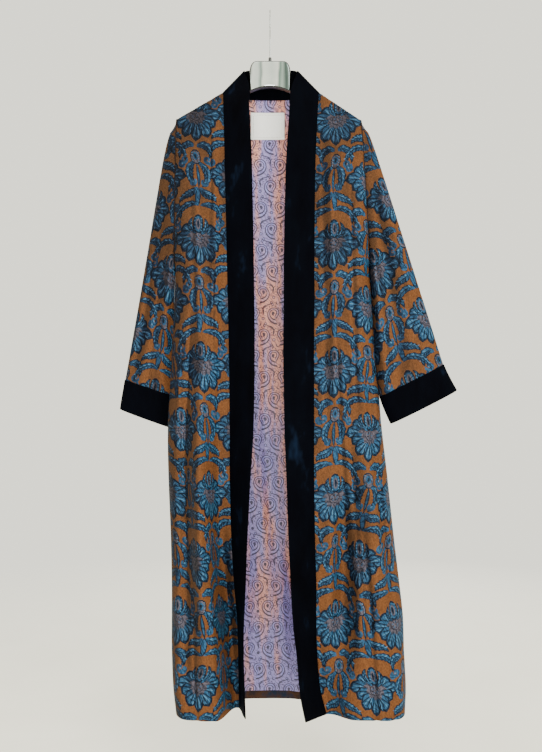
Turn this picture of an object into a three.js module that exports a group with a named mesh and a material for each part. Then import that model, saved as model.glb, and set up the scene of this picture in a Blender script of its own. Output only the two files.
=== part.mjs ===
// An open kimono robe in damask with velvet neckband and cuffs, on a clothes hanger.
// Millimetres, +Z up. x runs to the right of someone facing the robe, y runs away from them,
// and the origin is where the hanger's hook rests on its rail.
import * as THREE from 'three';

// ---------------------------------------------------------------- driving sizes

const CLOTH = 1.6; // wall of the damask
const VELVET = 2.2; // wall of the neckband and cuffs
const LINING = 1; // wall of the lining and the label
const SEAM = 0.3; // air between sewn pieces
const ARMHOLE_GAP = 0.9; // between the middles of the walls, which lean towards each other
const UNDERARM_GAP = 2; // more air where a sleeve and the side seam hang side by side
const HEM_Z = -1455;
const UNDERARM_Z = -531;
const RIDGE = 8; // radius of the cloth where it folds over the hanger
const FALL = 70; // height over which the cloth spreads from that fold to its full depth
const ARM_DEPTH = 22; // half the depth of an armhole
const FRONT_ROUND = 35; // width over which a front turns back to the side seam
const BACK_ROUND = 90; // the same on the back
const BAND_WIDTH = 62;
const NECK_DEPTH = 46; // from the shoulder line to the middle of the back neck
const NECK_DROP = 3; // how much lower the back neck is in the middle
const BAND_LEAN = 0.7; // sideways share of the collar's lean over the shoulders
const LINING_SHORT = 18; // from the lining's edge to the hem
const LABEL_SIZE = { width: 71, height: 57 };
const LABEL_PLACE = { x: -5, top: -198 };
const LABEL_GAP = 0.95; // the label's edges are sewn down, and its middle stands off the lining

// The shoulder line on each side, from the neck to the tip. side is -1 on the left.
const LEFT = { side: -1, neck: { x: -97, z: -168 }, tip: { x: -193, z: -224 } };
const RIGHT = { side: 1, neck: { x: 101, z: -168 }, tip: { x: 188, z: -226 } };

// Level cuts through each side. seam is the x of the neckband's seam and depth its y, turn is
// how far the band turns inwards from facing forwards, in degrees, and side is the x of
// the armhole or side seam.
LEFT.cuts = [
  { z: -168, seam: -97, depth: -28, turn: 34, side: -191 },
  { z: -250, seam: -94, depth: -30, turn: 31, side: -197 },
  { z: -330, seam: -92, depth: -34, turn: 28, side: -199 },
  { z: -531, seam: -87, depth: -40, turn: 30, side: -196 },
  { z: -700, seam: -83, depth: -45, turn: 34, side: -203 },
  { z: -860, seam: -81, depth: -46, turn: 40, side: -212 },
  { z: -960, seam: -81, depth: -44, turn: 48, side: -211 },
  { z: -1090, seam: -78, depth: -34, turn: 59, side: -206 },
  { z: -1190, seam: -73, depth: -18, turn: 68, side: -204 },
  { z: -1255, seam: -68, depth: -4, turn: 76, side: -204 },
  { z: -1320, seam: -66, depth: 8, turn: 79, side: -204 },
  { z: -1400, seam: -65, depth: 17, turn: 78, side: -201 },
  { z: -1455, seam: -64, depth: 20, turn: 77, side: -195 },
];
RIGHT.cuts = [
  { z: -168, seam: 98, depth: -28, turn: 24, side: 186 },
  { z: -250, seam: 95, depth: -30, turn: 21, side: 191 },
  { z: -330, seam: 92, depth: -34, turn: 18, side: 197 },
  { z: -531, seam: 90, depth: -40, turn: 10, side: 205 },
  { z: -600, seam: 90, depth: -42, turn: 10, side: 205 },
  { z: -700, seam: 89, depth: -45, turn: 10, side: 208.5 },
  { z: -750, seam: 89, depth: -46, turn: 12, side: 212 },
  { z: -800, seam: 89, depth: -47, turn: 15, side: 220 },
  { z: -860, seam: 89, depth: -48, turn: 18, side: 231 },
  { z: -960, seam: 89, depth: -48, turn: 27, side: 243 },
  { z: -1090, seam: 91, depth: -45, turn: 32, side: 257 },
  { z: -1190, seam: 94, depth: -40, turn: 35, side: 269 },
  { z: -1255, seam: 94, depth: -35, turn: 41, side: 276 },
  { z: -1320, seam: 96, depth: -28, turn: 48, side: 278 },
  { z: -1400, seam: 103, depth: -18, turn: 48, side: 282 },
  { z: -1455, seam: 116, depth: -14, turn: 45, side: 280 },
];

// How far the body stands out in front of and behind the shoulder line.
const BODY_DEPTH = [
  { z: -168, front: -34, back: 46 },
  { z: -330, front: -42, back: 42 },
  { z: -531, front: -46, back: 46 },
  { z: -860, front: -50, back: 55 },
  { z: -1190, front: -52, back: 68 },
  { z: -1455, front: -50, back: 78 },
];

// Folds that hang down a panel. from and to are heights, and a fold grows and fades over fade.
// high and low are its place at those heights, as a share of the way from the first edge of
// the panel to the last. y is how far it moves the cloth back, and half is half its width.
const LEFT_FOLDS = [
  { from: -480, to: -1600, fade: 700, high: 0.42, low: 0.5, y: -64, half: 0.27 },
  { from: -900, to: -1600, fade: 420, high: 0.22, low: 0.15, y: 36, half: 0.19 },
  { from: -240, to: -1150, fade: 200, high: 0.2, low: 0.3, y: -6, half: 0.1 },
  { from: -700, to: -1600, fade: 500, high: 0.75, low: 0.78, y: 10, half: 0.12 },
];
const RIGHT_FOLDS = [
  { from: -780, to: -1600, fade: 600, high: 0.5, low: 0.22, y: 54, half: 0.2 },
  { from: -640, to: -1600, fade: 600, high: 0.72, low: 0.7, y: -18, half: 0.22 },
  { from: -200, to: -1000, fade: 200, high: 0.16, low: 0.2, y: 6, half: 0.09 },
  { from: -560, to: -1300, fade: 260, high: 0.8, low: 0.86, y: 8, half: 0.1 },
];
const BACK_FOLDS = [
  { from: -700, to: -1600, fade: 700, high: 0.17, low: 0.14, y: -26, half: 0.09 },
  { from: -900, to: -1600, fade: 500, high: 0.31, low: 0.28, y: -16, half: 0.07 },
  { from: -760, to: -1600, fade: 600, high: 0.38, low: 0.43, y: 12, half: 0.08 },
  { from: -960, to: -1600, fade: 460, high: 0.53, low: 0.56, y: -34, half: 0.07 },
  { from: -620, to: -1600, fade: 800, high: 0.7, low: 0.71, y: 10, half: 0.1 },
  { from: -760, to: -1600, fade: 700, high: 0.84, low: 0.85, y: -26, half: 0.08 },
];

// A sleeve is ruled from its armhole to its cuff. outer and inner are the ends of its
// opening at the cuff's seam and at the cuff's edge. bulge pulls the top of the outer edge
// towards the neck, bends are the control points of the inner edge, and y is how far the
// sleeve hangs behind the armhole.
LEFT.sleeve = {
  line: -208,
  bulge: 0.054,
  bends: [{ x: -208, z: -604 }, { x: -206, z: -695 }],
  seam: { outer: { x: -307, z: -766 }, inner: { x: -190, z: -804 }, y: 44 },
  edge: { outer: { x: -318, z: -827 }, inner: { x: -196, z: -871 }, y: 48 },
};
RIGHT.sleeve = {
  line: 198,
  bulge: 0.04,
  bends: [{ x: 217, z: -590 }, { x: 211, z: -735 }],
  seam: { outer: { x: 357, z: -734 }, inner: { x: 227, z: -800 }, y: -12 },
  edge: { outer: { x: 384, z: -786 }, inner: { x: 250, z: -854 }, y: -14 },
};
const SLEEVE_DEPTH = 24; // half the depth of a sleeve at the cuff

// Folds along a sleeve, round it from its outer edge. at and end are shares of the way
// round at the armhole and at the cuff, half is half the width and y the depth.
LEFT.creases = [
  { at: 0.2, end: 0.12, half: 0.07, y: 7 },
  { at: 0.34, end: 0.3, half: 0.06, y: -6 },
  { at: 0.7, end: 0.74, half: 0.08, y: -6 },
];
RIGHT.creases = [
  { at: 0.19, end: 0.3, half: 0.07, y: 8 },
  { at: 0.36, end: 0.4, half: 0.05, y: -5 },
  { at: 0.7, end: 0.76, half: 0.08, y: -6 },
];

// The hanger: a raised middle with a plate, two arms under the shoulders, and a hook.
const WIRE = 3;
const HOOK_INSIDE = 21; // radius of the hook on the inner side of the wire
const HOOK_TIP_DROP = 16; // straight end of the hook below its bend
const FERRULE = { radius: 3.4, height: 9 };
const PLATE = { top: -104, bottom: -168, arch: 10, half: 43, topHalf: 33, depth: 20, bevel: 4 };
const ARM = { depth: 9, bevel: 2.5, root: 26, end: 16, clear: 4.2, short: 18, rise: 4 };

// ---------------------------------------------------------------- grids of the walls

const RIDGE_TURNS = [0, 30, 60, 90]; // degrees round the fold over the hanger
const UPPER_ROWS = 6; // from the shoulder to the underarm
const LOWER_ROWS = 14; // from the underarm to the hem
const FLAT_COLUMNS = 10;
const ROUND_COLUMNS = 4;
const SHOULDER_COLUMNS = 5; // of the back, on each side of the neck
const NECK_COLUMNS = 10;
const BAND_COLUMNS = 3;
const SLEEVE_RINGS = 11;
const CUFF_RINGS = 2;
const AROUND = 20;

const colours = {
  damask: { color: 0x6b4a35, roughness: 0.55, metalness: 0 },
  sleeve: { color: 0x5d4a40, roughness: 0.55, metalness: 0 },
  velvet: { color: 0x0b0e17, roughness: 0.85, metalness: 0 },
  lining: { color: 0xa07f88, roughness: 0.45, metalness: 0 },
  label: { color: 0xe6e2da, roughness: 0.7, metalness: 0 },
  chrome: { color: 0xc9cdd0, roughness: 0.12, metalness: 1 },
  plastic: { color: 0x17181a, roughness: 0.4, metalness: 0 },
};

// ---------------------------------------------------------------- small helpers

const mix = THREE.MathUtils.lerp;
const clamp = THREE.MathUtils.clamp;
const soft = (t) => THREE.MathUtils.smootherstep(t, 0, 1);
const vector = (x, y, z) => new THREE.Vector3(x, y, z);

// Reads a column of a table at a height, on a smooth curve through its rows.
function at(table, column, z) {
  const last = table.length - 1;
  const level = clamp(z, table[last].z, table[0].z);
  let row = 0;
  while (row < last - 1 && level < table[row + 1].z) row += 1;
  const slope = (i) => {
    const above = table[Math.max(i - 1, 0)];
    const below = table[Math.min(i + 1, last)];
    return (below[column] - above[column]) / (below.z - above.z);
  };
  const [above, below] = [table[row], table[row + 1]];
  const height = below.z - above.z;
  const t = (level - above.z) / height;
  const start = (1 + 2 * t) * (1 - t) ** 2 * above[column] + t * t * (3 - 2 * t) * below[column];
  const bend = t * (1 - t) ** 2 * slope(row) - t * t * (1 - t) * slope(row + 1);
  return start + bend * height;
}

// How far the folds of a panel move its cloth back at a share of its width.
function foldsAt(folds, share, z) {
  let y = 0;
  for (const fold of folds) {
    const way = clamp((fold.from - z) / (fold.from - Math.max(fold.to, HEM_Z)), 0, 1);
    const grown = soft((fold.from - z) / fold.fade) * soft((z - fold.to) / fold.fade);
    const off = Math.abs(share - mix(fold.high, fold.low, way)) / fold.half;
    if (off < 1) y += fold.y * grown * Math.cos((off * Math.PI) / 2) ** 2;
  }
  return y;
}

// The depth that cloth has reached, drop below the fold over the hanger.
function draped(full, drop, ridge = RIDGE) {
  const fold = Math.min(ridge, Math.abs(full));
  const rest = Math.abs(full) - fold;
  const round = Math.sqrt(1 - (1 - clamp(drop / RIDGE, 0, 1)) ** 2);
  const spread = 1 - Math.exp(-Math.max(drop - RIDGE, 0) / FALL);
  return Math.sign(full) * (fold * round + rest * spread);
}

// Half the depth of the armhole between top and the underarm, and nothing below that.
function armDepth(z, top) {
  const share = clamp((top - z) / (top - UNDERARM_Z), 0, 1);
  return ARM_DEPTH * (4 * share * (1 - share)) ** 0.4;
}

// The side edge: a straight armhole, and below it the side seam. There the wall turns along
// the edge, so the middle of the wall lies inside it.
function sideEdge(half, z) {
  if (z < UNDERARM_Z) {
    const turned = soft((UNDERARM_Z - z) / 12);
    return at(half.cuts, 'side', z) - half.side * (CLOTH / 2) * turned;
  }
  const share = (half.tip.z - z) / (half.tip.z - UNDERARM_Z);
  return mix(half.tip.x, at(half.cuts, 'side', UNDERARM_Z), Math.max(share, 0));
}

// The heights of a column's points, from the top edge of its panel to the hem.
function heights(top) {
  const list = RIDGE_TURNS.map((turn) => top - RIDGE * (1 - Math.cos((turn * Math.PI) / 180)));
  const start = list.at(-1);
  for (let i = 1; i <= UPPER_ROWS; i += 1) {
    list.push(mix(start, UNDERARM_Z, Math.sin(((i / UPPER_ROWS) * Math.PI) / 2)));
  }
  for (let i = 1; i <= LOWER_ROWS; i += 1) {
    list.push(mix(UNDERARM_Z, HEM_Z + LINING_SHORT, i / LOWER_ROWS));
  }
  list.push(HEM_Z);
  return list;
}

// ---------------------------------------------------------------- closed walls

// The normals of a grid of points, on the side that facing (1 or -1) chooses.
function normalsOf(grid, facing, wrap = false) {
  const last = grid[0].length - 1;
  return grid.map((row, r) =>
    row.map((point, c) => {
      const before = wrap ? row[(c + last) % (last + 1)] : row[Math.max(c - 1, 0)];
      const after = wrap ? row[(c + 1) % (last + 1)] : row[Math.min(c + 1, last)];
      const across = after.clone().sub(before);
      const down = grid[Math.min(r + 1, grid.length - 1)][c].clone();
      down.sub(grid[Math.max(r - 1, 0)][c]);
      return across.cross(down).multiplyScalar(facing).normalize();
    }),
  );
}

// Two pieces that share a seam lean their edges alike, so that the walls don't cross there.
function leanAlike(one, other) {
  one.add(other).normalize();
  other.copy(one);
}

// Moves an edge point a little way along the cloth, away from the seam.
const away = (edge, inside, gap = SEAM / 2) =>
  edge.clone().add(inside.clone().sub(edge).setLength(gap));

// A closed wall round a grid of points: both faces, and the rims of its open edges.
function wall(grid, normals, thickness, wrap = false) {
  const [rows, columns] = [grid.length, grid[0].length];
  const positions = [];
  for (const offset of [thickness / 2, -thickness / 2]) {
    grid.forEach((row, r) =>
      row.forEach((point, c) => {
        positions.push(...point.clone().addScaledVector(normals[r][c], offset).toArray());
      }),
    );
  }
  const outer = (r, c) => r * columns + (c % columns);
  const inner = (r, c) => rows * columns + outer(r, c);
  const index = [];
  const quad = (a, b, c, d) => index.push(a, b, c, a, c, d);
  const spans = wrap ? columns : columns - 1;
  for (let r = 0; r < rows - 1; r += 1) {
    for (let c = 0; c < spans; c += 1) {
      quad(outer(r, c), outer(r, c + 1), outer(r + 1, c + 1), outer(r + 1, c));
      quad(inner(r, c), inner(r + 1, c), inner(r + 1, c + 1), inner(r, c + 1));
    }
  }
  for (let c = 0; c < spans; c += 1) {
    quad(outer(0, c + 1), outer(0, c), inner(0, c), inner(0, c + 1));
    quad(outer(rows - 1, c), outer(rows - 1, c + 1), inner(rows - 1, c + 1), inner(rows - 1, c));
  }
  for (let r = 0; r < rows - 1 && !wrap; r += 1) {
    const end = columns - 1;
    quad(outer(r, 0), outer(r + 1, 0), inner(r + 1, 0), inner(r, 0));
    quad(outer(r + 1, end), outer(r, end), inner(r, end), inner(r + 1, end));
  }
  const geometry = new THREE.BufferGeometry();
  geometry.setAttribute('position', new THREE.Float32BufferAttribute(positions, 3));
  geometry.setIndex(facingOut(positions, index));
  geometry.computeVertexNormals();
  return geometry;
}

// Turns the triangles over if they enclose a negative volume.
function facingOut(positions, index) {
  const corner = (i) => vector(...positions.slice(3 * i, 3 * i + 3));
  let volume = 0;
  for (let i = 0; i < index.length; i += 3) {
    const [a, b, c] = [corner(index[i]), corner(index[i + 1]), corner(index[i + 2])];
    volume += a.dot(b.cross(c));
  }
  return volume > 0 ? index : index.reverse();
}

// ---------------------------------------------------------------- the body

// The columns of a front: shares of the flat stretch, then degrees round to the side.
const FRONT_COLUMNS = [
  ...Array.from({ length: FLAT_COLUMNS + 1 }, (_, i) => ({ flat: i / FLAT_COLUMNS, turn: 0 })),
  ...Array.from({ length: ROUND_COLUMNS }, (_, i) => ({
    flat: 1,
    turn: ((i + 1) / ROUND_COLUMNS) * (Math.PI / 2),
  })),
];

// A share of the width that runs flat to the rounded side and then round it.
const shareOf = (column, round) =>
  column.flat * (1 - round) + (column.flat === 1 ? round * Math.sin(column.turn) : 0);

// A column of a front, from the shoulder seam to the hem.
function frontColumn(half, folds, column) {
  const shoulderShare = shareOf(column, FRONT_ROUND / Math.abs(half.tip.x - half.neck.x));
  const topX = mix(half.neck.x, half.tip.x, shoulderShare);
  const topZ = mix(half.neck.z, half.tip.z, shoulderShare);
  const place = (z) => {
    const seam = at(half.cuts, 'seam', z);
    const side = sideEdge(half, z);
    const share = shareOf(column, FRONT_ROUND / Math.abs(side - seam));
    return { x: mix(seam, side, share), share };
  };
  const shift = topX - place(topZ).x;
  return heights(topZ).map((z) => {
    const { x, share } = place(z);
    const flat = mix(at(half.cuts, 'depth', z), at(BODY_DEPTH, 'front', z), soft(share / 0.35));
    const full = draped(flat + foldsAt(folds, share, z), topZ - z);
    const side = -armDepth(z, topZ);
    return vector(
      x + shift * Math.exp((z - topZ) / FALL),
      mix(side, full, Math.cos(column.turn)),
      z,
    );
  });
}

// Turns a list of columns into rows.
const rowsOf = (columns) => columns[0].map((_, r) => columns.map((column) => column[r]));

// The neckband across a front: from its seam, BAND_WIDTH towards the opening.
function bandAcross(half, seam) {
  const turn = (at(half.cuts, 'turn', seam.z) * Math.PI) / 180;
  const level = vector(-half.side * Math.cos(turn), -Math.sin(turn), 0);
  const way = soft((half.neck.z - seam.z) / 45);
  return collarLean(-half.side * BAND_LEAN).lerp(level, way).normalize();
}

const collarLean = (sideways) => vector(sideways, 0, Math.sqrt(1 - sideways ** 2));

// The back neck from the left shoulder to the right, by degrees of a half turn.
function neckPoint(turn) {
  const middle = (LEFT.neck.x + RIGHT.neck.x) / 2;
  const reach = (RIGHT.neck.x - LEFT.neck.x) / 2;
  return vector(
    middle - reach * Math.cos(turn),
    NECK_DEPTH * Math.sin(turn),
    LEFT.neck.z - NECK_DROP * Math.sin(turn),
  );
}
const neckLean = (turn) => collarLean(BAND_LEAN * Math.cos(turn) * Math.abs(Math.cos(turn)));

// The columns of the back: over the left shoulder, the neck and the right shoulder.
function backTops() {
  const shoulder = (half, share) =>
    vector(mix(half.neck.x, half.tip.x, share), 0, mix(half.neck.z, half.tip.z, share));
  const tops = [];
  for (let i = SHOULDER_COLUMNS; i > 0; i -= 1) {
    tops.push(shoulder(LEFT, i / SHOULDER_COLUMNS));
  }
  for (let i = 0; i <= NECK_COLUMNS; i += 1) tops.push(neckPoint((i / NECK_COLUMNS) * Math.PI));
  for (let i = 1; i <= SHOULDER_COLUMNS; i += 1) {
    tops.push(shoulder(RIGHT, i / SHOULDER_COLUMNS));
  }
  return tops;
}

// The back's point at a share of the way from its left side to its right.
function backPoint(share, z, top) {
  const [left, right] = [sideEdge(LEFT, z), sideEdge(RIGHT, z)];
  const x = mix(left, right, share);
  const inside = Math.min(x - left, right - x);
  const turned = Math.sqrt(1 - (1 - clamp(inside / BACK_ROUND, 0, 1)) ** 2);
  const full = at(BODY_DEPTH, 'back', z) + foldsAt(BACK_FOLDS, share, z);
  const ridge = RIDGE * (1 - top.y / NECK_DEPTH);
  const hung = top.y + draped(full - top.y, top.z - z, ridge);
  return vector(x, mix(armDepth(z, top.z), hung, turned), z);
}

// How the back's columns are spaced: closer together towards the round sides.
function backColumn(top, index, count) {
  const even = index / (count - 1);
  const share = even - 0.045 * Math.sin(2 * Math.PI * even);
  const start = mix(sideEdge(LEFT, top.z), sideEdge(RIGHT, top.z), share);
  return heights(top.z).map((z) => {
    const point = backPoint(share, z, top);
    point.x += (top.x - start) * Math.exp((z - top.z) / FALL);
    return point;
  });
}

// The way the wall faces along the shoulder seam, square to the shoulder line.
function shoulderFacing({ side, neck, tip }) {
  return vector(neck.z - tip.z, 0, tip.x - neck.x).multiplyScalar(side).normalize();
}

// Below the underarm a front and the back meet square to the side seam.
function squareSide(grid, normals, column, half) {
  grid.forEach((row, r) => {
    if (row[column].z > UNDERARM_Z + 1) return;
    const above = grid[r - 1][column];
    const below = grid[Math.min(r + 1, grid.length - 1)][column];
    const facing = vector(above.z - below.z, 0, below.x - above.x);
    normals[r][column].copy(facing.multiplyScalar(half.side).normalize());
  });
}

function frontAndBand(half, folds) {
  const columns = FRONT_COLUMNS.map((column) => frontColumn(half, folds, column));
  const grid = rowsOf(columns);
  const band = grid.map(([seam]) => {
    const across = bandAcross(half, seam);
    return Array.from({ length: BAND_COLUMNS + 1 }, (_, i) =>
      seam.clone().addScaledVector(across, (i / BAND_COLUMNS) * BAND_WIDTH),
    );
  });
  return { grid, band, normals: normalsOf(grid, -half.side) };
}

const backGrid = rowsOf(backTops().map((top, i, tops) => backColumn(top, i, tops.length)));
const backNormals = normalsOf(backGrid, 1);
const left = frontAndBand(LEFT, LEFT_FOLDS);
const right = frontAndBand(RIGHT, RIGHT_FOLDS);
const backEnd = backGrid[0].length - 1;
const frontEnd = left.grid[0].length - 1;

for (const [half, front, column] of [[LEFT, left, 0], [RIGHT, right, backEnd]]) {
  const facing = shoulderFacing(half);
  squareSide(backGrid, backNormals, column, half);
  squareSide(front.grid, front.normals, frontEnd, half);
  front.normals[0].forEach((normal) => normal.copy(facing));
  backNormals[0].forEach((normal, c) => {
    if (Math.abs(c - column) <= SHOULDER_COLUMNS) normal.copy(facing);
  });
}

// The neckband on one side, from the middle of the back neck to the hem.
function neckband(half, front) {
  const stations = [];
  const partners = [];
  for (let i = NECK_COLUMNS / 2; i > 0; i -= 1) {
    const index = half === LEFT ? i : NECK_COLUMNS - i;
    const turn = (index / NECK_COLUMNS) * Math.PI;
    const lean = neckLean(turn);
    stations.push(
      Array.from({ length: BAND_COLUMNS + 1 }, (_, w) =>
        neckPoint(turn).addScaledVector(lean, (w / BAND_COLUMNS) * BAND_WIDTH),
      ),
    );
    partners.push(backNormals[0][SHOULDER_COLUMNS + index]);
  }
  front.band.forEach((row, r) => {
    stations.push(row);
    partners.push(front.normals[r][0]);
  });
  const normals = normalsOf(stations, half.side);
  normals.forEach((row, s) => leanAlike(row[0], partners[s]));
  const trimmed = stations.map((row) => [away(row[0], row[1]), ...row.slice(1)]);
  trimmed[0] = trimmed[0].map((point, w) => away(point, trimmed[1][w]));
  return wall(trimmed, normals, VELVET);
}

// A front or the back with its edges moved off its seams.
function panel(grid, normals, edges) {
  const rows = grid.map((row) => [...row]);
  const end = rows[0].length - 1;
  if (edges.top) rows[0] = rows[0].map((point, c) => away(point, rows[1][c]));
  rows.forEach((row) => {
    if (edges.first) row[0] = away(row[0], row[1]);
    if (edges.last) row[end] = away(row[end], row[end - 1]);
  });
  return wall(rows, normals, CLOTH);
}

// The side seam's edges stand off the middle plane, where the front and the back meet.
function partSides(grid, column, y) {
  grid.forEach((row) => {
    row[column].y += y;
  });
}

const bandLeft = neckband(LEFT, left);
const bandRight = neckband(RIGHT, right);
partSides(left.grid, frontEnd, -SEAM / 2);
partSides(right.grid, frontEnd, -SEAM / 2);
partSides(backGrid, 0, SEAM / 2);
partSides(backGrid, backEnd, SEAM / 2);

// ---------------------------------------------------------------- lining and label

// The lining follows the back's inner side and ends above the hem.
const liningGrid = backGrid.slice(0, -1).map((row, r) =>
  row.map((point, c) =>
    point.clone().addScaledVector(backNormals[r][c], -(CLOTH / 2 + SEAM + LINING / 2)),
  ),
);
liningGrid[0] = liningGrid[0].map((point, c) => away(point, liningGrid[1][c]));

// The places from start to end, with each whole number between them.
const stepsBetween = (start, end) => [
  start,
  ...Array.from({ length: Math.ceil(end) - Math.ceil(start) }, (_, i) => Math.ceil(start) + i),
  end,
];

// The label lies on the lining, on the lining's own points moved towards the front.
function labelOn(grid) {
  const middle = SHOULDER_COLUMNS + NECK_COLUMNS / 2;
  const rowAt = (z) => {
    const r = grid.findIndex((row) => row[middle].z < z) - 1;
    return r + (grid[r][middle].z - z) / (grid[r][middle].z - grid[r + 1][middle].z);
  };
  const top = rowAt(LABEL_PLACE.top);
  const columnAt = (x) => {
    const row = grid[Math.round(top)];
    const c = row.findIndex((point) => point.x > x) - 1;
    return c + (x - row[c].x) / (row[c + 1].x - row[c].x);
  };
  const on = (r, c) => {
    const [upper, lower] = [Math.floor(r), Math.min(Math.floor(r) + 1, grid.length - 1)];
    const column = Math.floor(c);
    const across = (row) => row[column].clone().lerp(row[column + 1], c - column);
    return across(grid[upper]).lerp(across(grid[lower]), r - upper);
  };
  const { x, top: topZ } = LABEL_PLACE;
  const { width, height } = LABEL_SIZE;
  const points = stepsBetween(top, rowAt(topZ - height)).map((r) =>
    stepsBetween(columnAt(x - width / 2), columnAt(x + width / 2)).map((c) => on(r, c)),
  );
  const normals = normalsOf(points, -1);
  points.forEach((row, r) =>
    row.forEach((point, c) => point.addScaledVector(normals[r][c], LINING + LABEL_GAP)),
  );
  return wall(points, normals, LINING);
}

// ---------------------------------------------------------------- sleeves and cuffs

// The outer or inner end of a sleeve's opening, from the armhole (0) to the cuff's seam (1).
function outerEnd(half, t) {
  const { line, bulge, seam } = half.sleeve;
  const rounding = (half.tip.x - line) * Math.exp(-t / bulge);
  return vector(mix(line, seam.outer.x, t) + rounding, 0, mix(half.tip.z, seam.outer.z, t));
}
function innerEnd(half, t) {
  const { bends, seam } = half.sleeve;
  const start = { x: sideEdge(half, UNDERARM_Z), z: UNDERARM_Z };
  const points = [start, ...bends, seam.inner].map(({ x, z }) => vector(x, 0, z));
  return new THREE.CubicBezierCurve3(...points).getPoint(t);
}

// One flattened ring of cloth between an outer and an inner end.
function ring(half, outer, inner, y, depth, t) {
  return Array.from({ length: AROUND }, (_, i) => {
    const round = i / AROUND;
    const turn = round * 2 * Math.PI;
    const point = outer.clone().lerp(inner, (1 - Math.cos(turn)) / 2);
    const bow = Math.sign(Math.sin(turn)) * Math.abs(Math.sin(turn)) ** 0.8;
    let crease = 0;
    for (const fold of half.creases) {
      const off = Math.abs(round - mix(fold.at, fold.end, t)) / fold.half;
      if (off < 1) crease += fold.y * Math.cos((off * Math.PI) / 2) ** 2;
    }
    point.y = y - depth * bow + crease * soft(t / 0.3) * soft((1.15 - t) / 0.3);
    return point;
  });
}

function sleeveAndCuff(half) {
  const { seam, edge } = half.sleeve;
  const rings = [];
  for (let i = 0; i <= SLEEVE_RINGS; i += 1) {
    const t = (i / SLEEVE_RINGS) ** 1.25;
    const y = seam.y * Math.sin((t * Math.PI) / 2);
    const depth = mix(ARM_DEPTH, SLEEVE_DEPTH, t);
    rings.push(ring(half, outerEnd(half, t), innerEnd(half, t), y, depth, t));
  }
  for (let i = 1; i <= CUFF_RINGS; i += 1) {
    const t = i / CUFF_RINGS;
    const outer = outerEnd(half, 1).lerp(vector(edge.outer.x, 0, edge.outer.z), t);
    const inner = innerEnd(half, 1).lerp(vector(edge.inner.x, 0, edge.inner.z), t);
    rings.push(ring(half, outer, inner, mix(seam.y, edge.y, t), SLEEVE_DEPTH, 1 + 0.15 * t));
  }
  // The first ring follows the armhole and stands off it, further where walls lie side by side.
  rings[0].forEach((point, i) => {
    const towardsUnderarm = ((1 - Math.cos((i / AROUND) * 2 * Math.PI)) / 2) ** 3;
    point.x = sideEdge(half, point.z) + half.side * (ARMHOLE_GAP + UNDERARM_GAP * towardsUnderarm);
  });
  const normals = normalsOf(rings, 1, true);
  const sleeve = rings.slice(0, SLEEVE_RINGS + 1);
  const cuff = rings.slice(SLEEVE_RINGS);
  sleeve[SLEEVE_RINGS] = cuff[0].map((point, i) => away(point, sleeve[SLEEVE_RINGS - 1][i]));
  cuff[0] = cuff[0].map((point, i) => away(point, cuff[1][i]));
  return {
    sleeve: wall(sleeve, normals.slice(0, SLEEVE_RINGS + 1), CLOTH, true),
    cuff: wall(cuff, normals.slice(SLEEVE_RINGS), VELVET, true),
  };
}

// ---------------------------------------------------------------- the hanger

// An outline in x and z, given a depth along y with rounded edges.
function flatBar(outline, depth, bevel) {
  const geometry = new THREE.ExtrudeGeometry(outline, {
    depth: depth - 2 * bevel,
    bevelThickness: bevel,
    bevelSize: bevel,
    bevelOffset: -bevel,
    bevelSegments: 2,
    curveSegments: 8,
  });
  geometry.translate(0, 0, -depth / 2 + bevel);
  return geometry.rotateX(Math.PI / 2);
}

function hangerPlate() {
  const { top, bottom, arch, half, topHalf, depth, bevel } = PLATE;
  const shoulder = top - 14;
  const outline = new THREE.Shape();
  outline.moveTo(-half, bottom);
  outline.quadraticCurveTo(0, bottom + 2 * arch, half, bottom);
  outline.lineTo(half, shoulder - 16);
  outline.quadraticCurveTo(half, top, topHalf - 6, top);
  outline.lineTo(6 - topHalf, top);
  outline.quadraticCurveTo(-half, top, -half, shoulder - 16);
  return flatBar(outline, depth, bevel);
}

// One arm, from beside the plate to just short of the shoulder's tip.
function hangerArm(half) {
  const { side, neck, tip } = half;
  const start = side * (PLATE.half + SEAM);
  const end = tip.x - side * ARM.short;
  const slope = (tip.z - neck.z) / (tip.x - neck.x);
  const under = (x) => neck.z + slope * (x - neck.x) - ARM.clear;
  const outline = new THREE.Shape();
  outline.moveTo(start, under(neck.x) + ARM.rise - ARM.root);
  outline.lineTo(start, under(neck.x) + ARM.rise);
  outline.lineTo(neck.x, under(neck.x));
  outline.lineTo(end - side * 6, under(end - side * 6));
  outline.quadraticCurveTo(end, under(end), end, under(end) - ARM.end / 2);
  outline.quadraticCurveTo(end, under(end) - ARM.end, end - side * 10, under(end) - ARM.end);
  outline.lineTo(neck.x, under(neck.x) - ARM.root);
  return flatBar(outline, ARM.depth, ARM.bevel);
}

function hangerFerrule() {
  const { radius, height } = FERRULE;
  const profile = [
    new THREE.Vector2(0, 0),
    new THREE.Vector2(radius, 0),
    new THREE.Vector2(radius, height - 2),
    new THREE.Vector2(radius - 1, height),
    new THREE.Vector2(0, height),
  ];
  const geometry = new THREE.LatheGeometry(profile, 20).rotateX(Math.PI / 2);
  return geometry.translate(0, 0, PLATE.top + SEAM);
}

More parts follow.
